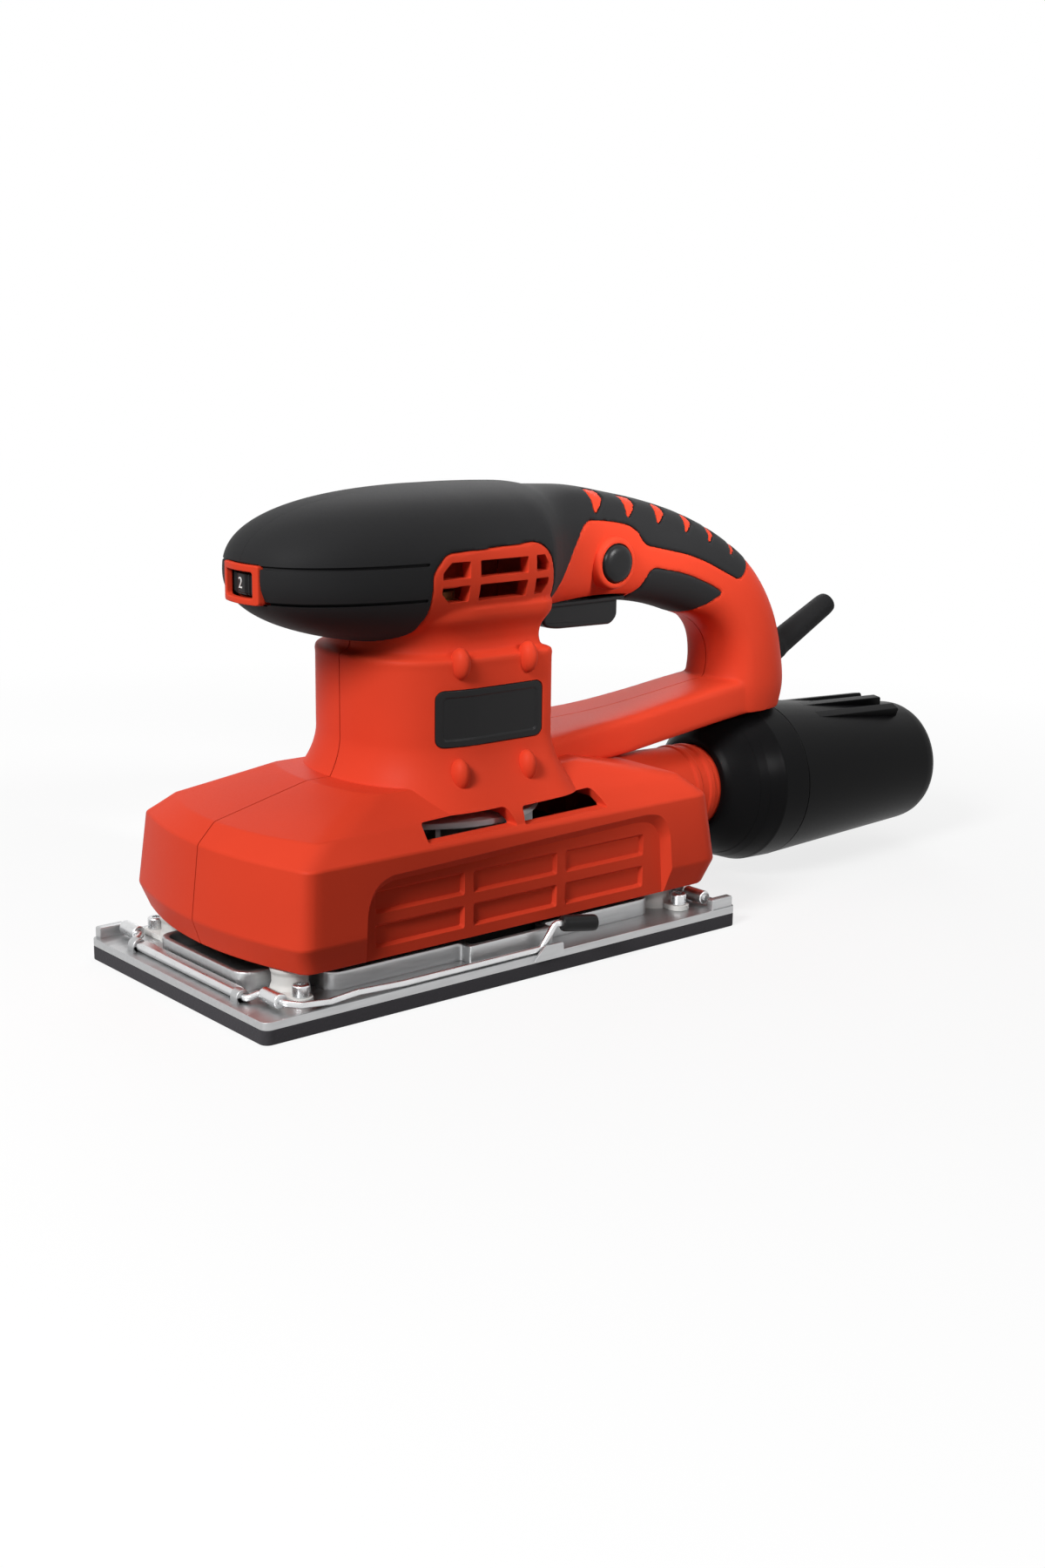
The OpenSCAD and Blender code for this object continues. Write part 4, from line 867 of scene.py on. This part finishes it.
# %% [markdown]
# ## The plate on the neck
# A dark plate lies in a shallow bed in the left side of the neck and follows its curve. It carries nothing: only a
# raised rim and a plain sunk field. It is the neck's own skin, cut out by a rounded rectangle.

# %% Neck plate
plate = plate_form("neck_plate", -0.1, -0.98, 0.0)
field = prism("field", slab(-17.6, 22.6, 84.4, 99.6, 1.8), "xz", -60, -20)
melted(carve(plate, carve(field, neck_skin("field_floor", -0.5, 60, 120))), 0.25, 2)
piece(plate, "housing", "trim_black", "badge_plate", sharp=60)

# %% [markdown]
# ## Trigger, lock button and cord guard
# The trigger hangs under the bar just behind the neck; pulling it up starts the motor. The lock button stands in its
# collar on the left and keeps the trigger in. The guard keeps the cord from kinking where it leaves the pillar. The
# trigger is a side view carried across and rounded; the other two are turned.

# %% Controls
LEVER_SIDE = [(49.5, 123.5), (49.5, 116, 1.5), (51, 114.3, 1), (55.5, 113.2, 3), (83.5, 112.6, 1.5), (86.6, 115.5, 1.5),
              (86.6, 123.5)]
trigger = prism("trigger", LEVER_SIDE, "xz", -8.5, 8.5, edge=1.3, segments=4)
flange = block("flange", (47.9, -10.5, 122.2), (88.1, 10.5, 123.5), 0.3)
piece(joined("trigger_lever", trigger, flange), "trigger", "trim_black", "trigger", sharp=50)
KNOB = [(0, 12.2), (3.5, 12.2, 0.3), (3.5, 14.2), (7.3, 14.2, 0.3), (7.3, 20.6, 1.0), (6.2, 21.8, 1.2),
        (4.4, 22.35, 1.5), (0, 22.5)]
button = turned("lock_knob", KNOB, 64, along((BUTTON_X, 0, BUTTON_Z), LEFT))
piece(button, "lock_button", "trim_black", "lock_button", sharp=50)
SLEEVE = [(3.2, 6), (0, 6), (0, 0), (8, 0, 0.4), (8, 4, 0.4), (5.8, 4), (5.8, 20, 0.6), (5.4, 22, 1), (4.7, 52.5, 1.2),
          (4.2, 55, 0.8), (3.2, 55.4, 0.3)]
guard = turned("cord_guard_sleeve", SLEEVE, 56, GUARD)
piece(guard, "housing", "grip_black", "cord_guard", sharp=45)

# %% [markdown]
# ## Spigot and dust canister
# Dust blown by the fan leaves through a red spigot with two sealing rings, and the canister is pushed onto it: a domed
# cap, a seam, and a tapering body with ribs along its top for the hand. All are turned about one leaning axis; the
# ribs are flat profiles stood on the body and joined to it.

# %% Spigot and cap
SPIGOT = [(14.5, -12), (20, -12), (20, -8.5), (17, -8.5), (17, 26), (17.7, 26.8, 0.4), (17.7, 29, 0.4), (17, 29.8),
          (17, 33), (17.7, 33.8, 0.4), (17.7, 36, 0.4), (17, 36.8), (17, 56, 0.8), (14.5, 57, 0.8)]
CAP = [(17.25, 39, 0.4), (19.5, 39, 0.8), (21.7, 40.6, 1), (25.3, 44.6, 3), (28.6, 49.4, 5), (31.2, 54.8, 5),
       (32.5, 60.2, 1.2), (33, 61.6, 0.5), (32.8, 75, 0.35), (30.4, 75), (30.4, 81), (28.4, 81), (28.4, 63),
       (27.2, 56.5), (24.8, 51.5), (21.8, 47), (20, 44.5), (20, 53), (17.25, 53)]
piece(turned("dust_pipe", SPIGOT, 96, DUST), "housing", "housing_red", "dust_spigot", sharp=40)
cap = turned("canister_cap", CAP, 112, DUST)
for lean in (-14, 0, 14):
    slot_cut = block("latch_slot", (-34, -2.2, 62.5), (-31.9, 2.2, 73), 0.3)
    slot_cut.data.transform(DUST @ Matrix.Rotation(math.radians(lean - 90), 4, "Z"))
    carve(cap, slot_cut)
piece(cap, "dust_cap", "canister_black", "dust_cap", sharp=34)

# %% Canister body
RIB_START, RIB_ROOT = 97, 1.4
BODY = [(30.6, 75.3), (32.7, 75.3, 0.35), (26.1, 160, 2), (25.3, 163.2, 2), (23.4, 165.2, 2), (20.9, 166, 1), (0, 166),
        (0, 164), (20.7, 164), (23.7, 160), (30.6, 84)]


def body_radius(s):
    return 32.7 - 6.6 * (s - 75) / 85


body = turned("canister_body", BODY, 112, DUST)
for k in range(4):
    top, end = body_radius(RIB_START), RIB_START + 46 + 2 * k
    rib = prism("rib", [(top - RIB_ROOT, RIB_START), (top, RIB_START), (top, end - 1, 0.8),
                        (body_radius(end) - RIB_ROOT, end)], "xz", -2, 2, edge=0.4)
    rib.data.transform(DUST @ Matrix.Rotation(math.radians(63 + 18 * k), 4, "Z"))
    carve(body, rib, how="UNION")
piece(body, "dust_body", "canister_black", "dust_body", sharp=34)

# %% [markdown]
# ## Platen and pad
# The platen is an aluminium casting: a flat plate with low walls that stiffen it, a hub for the eccentric bearing, and
# seats for the paper clamps. The walls are rounded outlines carried upwards with a slight draft and a soft upper edge.
# The pad under it is a slab of foam rubber with the same dust holes.

# %% Platen plate and walls
SHEET = slab(-107, 107, -57.5, 57.5, 3)


def overlaid(name, low, high, *plans):
    form, *others = [prism(name, slab(*plan), "xy", low, high, widen) for plan, widen in plans]
    return carve(form, *others, how="UNION")


ground_plate = prism("platen", SHEET, "xy", 5, 8, edge=0.45)
walls = overlaid("walls", 7.6, 14.5, ((-97, 97, -28, 28, 6), 1.0), ((-73.7, 73.7, -45.5, 45.5, 6), 1.0),
                 ((-18, 20, -51, -31), 1.0), ((-20, 18, 31, 51), 1.0))
well = overlaid("well", 8, 20, ((-94.5, 94.5, -25.5, 25.5, 4.5), 1.006), ((-71.2, 71.2, -43, 43, 4.5), 1.008),
                ((-15.5, 17.5, -48.5, -30), 1.0), ((-17.5, 15.5, 30, 48.5), 1.0))
tray = melted(carve(walls, well), 0.55, 4)
print("tray of", len(tray.data.polygons), "faces")

# %% Platen fittings and pad
HOLES = [(t * x, s * 33) for x in (24, 64) for t in (-1, 1) for s in (-1, 1)]
AXLE_X, AXLE_Z = -101.3, 9.8
hub = turned("hub", [(14, 11), (0, 11), (0, 7.6), (19, 7.6), (19, 21, 0.5), (14, 21, 0.3)], 72,
             Matrix.Translation((1, 0, 0)))
castings = [tray, hub]
for a in range(4):
    web = block("web", (17, -1.5, 7.6), (37, 1.5, 12.5), 0.4)
    web.data.transform(Matrix.Rotation(math.radians(90 * a), 4, "Z"))
    castings.append(web)
for flip in (0, math.pi):
    seats = [prism("tab", [(5, 6), (19, 6), (18.5, 11, 0.8), (10, 11, 0.8)], "xz", -58.3, -57.3, edge=0.15),
             block("ear", (-105.5, 53.3, 7.5), (-94.5, 56.9, 12), 0.9)]
    for y in (-34, 34):
        seats += [turned("lug", [(1.28, -2), (2.6, -2, 0.3), (2.6, 2, 0.3), (1.28, 2)], 40,
                         along((AXLE_X, y, AXLE_Z), RIGHT)),
                  carve(block("lug_foot", (AXLE_X - 2.6, y - 2, 7.5), (AXLE_X + 2.6, y + 2, AXLE_Z)),
                        post("lug_bore", (AXLE_X, y - 5, AXLE_Z), RIGHT, 10, 1.28, 40))]
    for seat in seats:
        seat.data.transform(Matrix.Rotation(flip, 4, "Z"))
    castings += seats
pad = prism("pad", SHEET, "xy", 0, 5, edge=0.35)
for x, y in HOLES:
    for ob in (ground_plate, pad):
        carve(ob, post("dust_hole", (x, y, -5), UP, 40, 5, 36))
piece(joined("platen_casting", ground_plate, *castings), "platen", "aluminium", "platen", sharp=40)
piece(pad, "platen", "pad_rubber", "sanding_pad", sharp=40)

# %% [markdown]
# ## Paper clamps
# Each end of the paper is held by a bent wire: along the front edge it is the axle of a toothed jaw, at both ends it
# cranks back through a knuckle, and on one side it runs along the platen's edge to a finger sleeve, where it hooks
# behind a tab. A wire is the simplest loft of all: a circle carried along a path with rounded corners. The rear clamp
# is the front one turned half round.

# %% Wire path
def bent(points, radius, steps=7):
    points = [Vector(p) for p in points]
    out = [points[0]]
    for a, b, c in zip(points, points[1:], points[2:]):
        u, v = (a - b).normalized(), (c - b).normalized()
        t = min(radius / math.tan(u.angle(v) / 2), (a - b).length * 0.45, (c - b).length * 0.45)
        start, end = b + u * t, b + v * t
        for k in range(steps):
            q = k / (steps - 1)
            out.append(start.lerp(b, q).lerp(b.lerp(end, q), q))
    return out + [points[-1]]


def wire(name, points, radius, count=18):
    rings, side = [], None
    for k, p in enumerate(points):
        d = (points[min(k + 1, len(points) - 1)] - points[max(k - 1, 0)]).normalized()
        side = d.orthogonal().normalized() if side is None else (side - d * side.dot(d)).normalized()
        other = d.cross(side)
        rings.append([p + radius * (math.cos(math.tau * i / count) * side + math.sin(math.tau * i / count) * other)
                      for i in range(count)])
    return loft(name, count, rings)


BEND, TIP = Vector((16, -56.5, 17.8)), Vector((0.951, -0.3, -0.08)).normalized()
KNUCKLE_X, KNUCKLE_Z, SIDE_Y = -96.3, 11.3, -55.8
LEVER = [(KNUCKLE_X, 51.8, KNUCKLE_Z), (KNUCKLE_X, 39.5, KNUCKLE_Z), (AXLE_X, 38, AXLE_Z), (AXLE_X, -38, AXLE_Z),
         (KNUCKLE_X, -39.5, KNUCKLE_Z), (KNUCKLE_X, -53, KNUCKLE_Z), (-91.8, SIDE_Y, 10.5), (-80.3, SIDE_Y, 9.3),
         (-69.3, SIDE_Y, 10.2), (-50.3, SIDE_Y, 9.3), (10, SIDE_Y, 9.3), BEND, BEND + TIP * 15.5]
print("lever path of", len(bent(LEVER, 2.2)), "points")

# %% Clamp pieces
JAW, WIRE_HOLE = 31.5, 1.22
STRIP = [(AXLE_X, 10.4), (AXLE_X, 11.4), (-98.1, 11.4, 0.5), (-98.1, 9.3), (-99, 9.3), (-99, 10.4)]
FINGER_SLEEVE = [(WIRE_HOLE, 0), (2.7, 0, 0.4), (3.0, 1.2, 0.4), (3.0, 12.6, 0.7), (2.6, 13.6, 0.5), (0, 13.8),
                 (0, 13.2), (WIRE_HOLE, 13.2)]
for end, flip in (("front", 0.0), ("rear", math.pi)):
    half_turn = Matrix.Rotation(flip, 4, "Z")
    lever = wire(end + "_clamp_lever", bent(LEVER, 2.2), 1.2)
    strip = prism("strip", STRIP, "xz", -JAW, JAW)
    roll_tube = turned("roll_tube", [(WIRE_HOLE, -JAW), (1.6, -JAW), (1.6, JAW), (WIRE_HOLE, JAW)], 32,
                       along((AXLE_X, 0, AXLE_Z), RIGHT))
    teeth = [prism("tooth", [(-30.8 + 3 * i, 9.4), (-29.2 + 3 * i, 9.4), (-29.6 + 3 * i, 8.3), (-30.4 + 3 * i, 8.3)],
                   "yz", -99, -98.1) for i in range(21)]
    tubes = [turned("knuckle", [(WIRE_HOLE, 0), (2.6, 0, 0.5), (2.6, 10, 0.5), (WIRE_HOLE, 10)], 40,
                    along((KNUCKLE_X, y, KNUCKLE_Z), RIGHT)) for y in (-51, 41)]
    jaw = joined(end + "_jaw", strip, roll_tube, *teeth, *tubes)
    sleeve = turned(end + "_finger_sleeve", FINGER_SLEEVE, 40, along(BEND + TIP * 2.4, TIP))
    for ob in (lever, jaw, sleeve):
        ob.data.transform(half_turn)
    piece(lever, end + "_clamp", "wire_steel", end + "_clamp_wire", sharp=60)
    piece(jaw, end + "_clamp", "wire_steel", end + "_clamp_jaw", sharp=40)
    piece(sleeve, end + "_clamp", "trim_black", end + "_lever_sleeve", sharp=45)

# %% [markdown]
# ## Legs and screws
# Four pale rubber legs carry the body and let the platen swing on its small circle. Each has a foot with a screw
# through it. The screws of the housing sit at the bottom of their wells on the right side. A screw is turned, and its
# hexagon socket is cut with a six-sided post.

# %% Legs and screws
def screw(name, head_r, head_h, shank_r, shank_l, frame_of):
    ob = turned(name, [(0, -shank_l), (shank_r, -shank_l, 0.3), (shank_r, 0), (head_r, 0, 0.25),
                       (head_r, head_h, 0.7), (0, head_h)], 40)
    carve(ob, post("socket", (0, 0, head_h - 1.5), UP, 5, head_r * 0.52, 6))
    ob.data.transform(frame_of)
    return ob


LEG = [(0, 8), (7.0, 8), (6.8, 10.2, 0.6), (6.2, 11.5, 0.6), (6.2, 15, 0.6), (6.8, 16, 0.5), (6.8, 17.2, 0.3),
       (0, 17.2)]
legs, leg_screws = [], []
for x, y in LEGS:
    sy = math.copysign(1, y)
    foot_x, hole_y = x + 3 * math.copysign(1, x), y + 11 * sy
    legs.append(turned("leg", LEG, 48, Matrix.Translation((x, y, 0))))
    foot = prism("foot", slab(foot_x - 4, foot_x + 4, *sorted((y, y + 15 * sy)), 3.6), "xy", 8, 10, edge=0.3)
    legs.append(carve(foot, post("foot_hole", (foot_x, hole_y, 5), UP, 10, 1.7, 24)))
    leg_screws.append(screw("leg_screw", 3.0, 4.2, 1.6, 3.8, Matrix.Translation((foot_x, hole_y, 10))))
piece(joined("rubber_legs", *legs), "platen", "leg_rubber", "support_legs", sharp=45)
piece(joined("foot_screws", *leg_screws), "platen", "screw_steel", "leg_screws", sharp=35)
well_screws = [screw("shell_screw", 3.4, 2.6, 1.6, 23, along((x, 12, z), RIGHT)) for x, z in SCREWS]
piece(joined("shell_screws", *well_screws), "housing", "screw_steel", "housing_screws", sharp=35)

# %% [markdown]
# ## What stays as it was packed
# Motor, bearings, fan, seal and filter have the right shape already and hardly show, so they keep the frame's solids
# and only get their finishes: each node's slot in the record names the finish.

# %% Finishes of the inner parts
slots = {s["node"]: s["material_slot"] for s in frame["record"]["subparts"]}
for node, ob in frame["nodes"].items():
    ob.data.materials.clear()
    ob.data.materials.append(finishes[slots[node]])
print(len(made_pieces), "pieces made,", len(frame["nodes"]), "nodes in the frame")
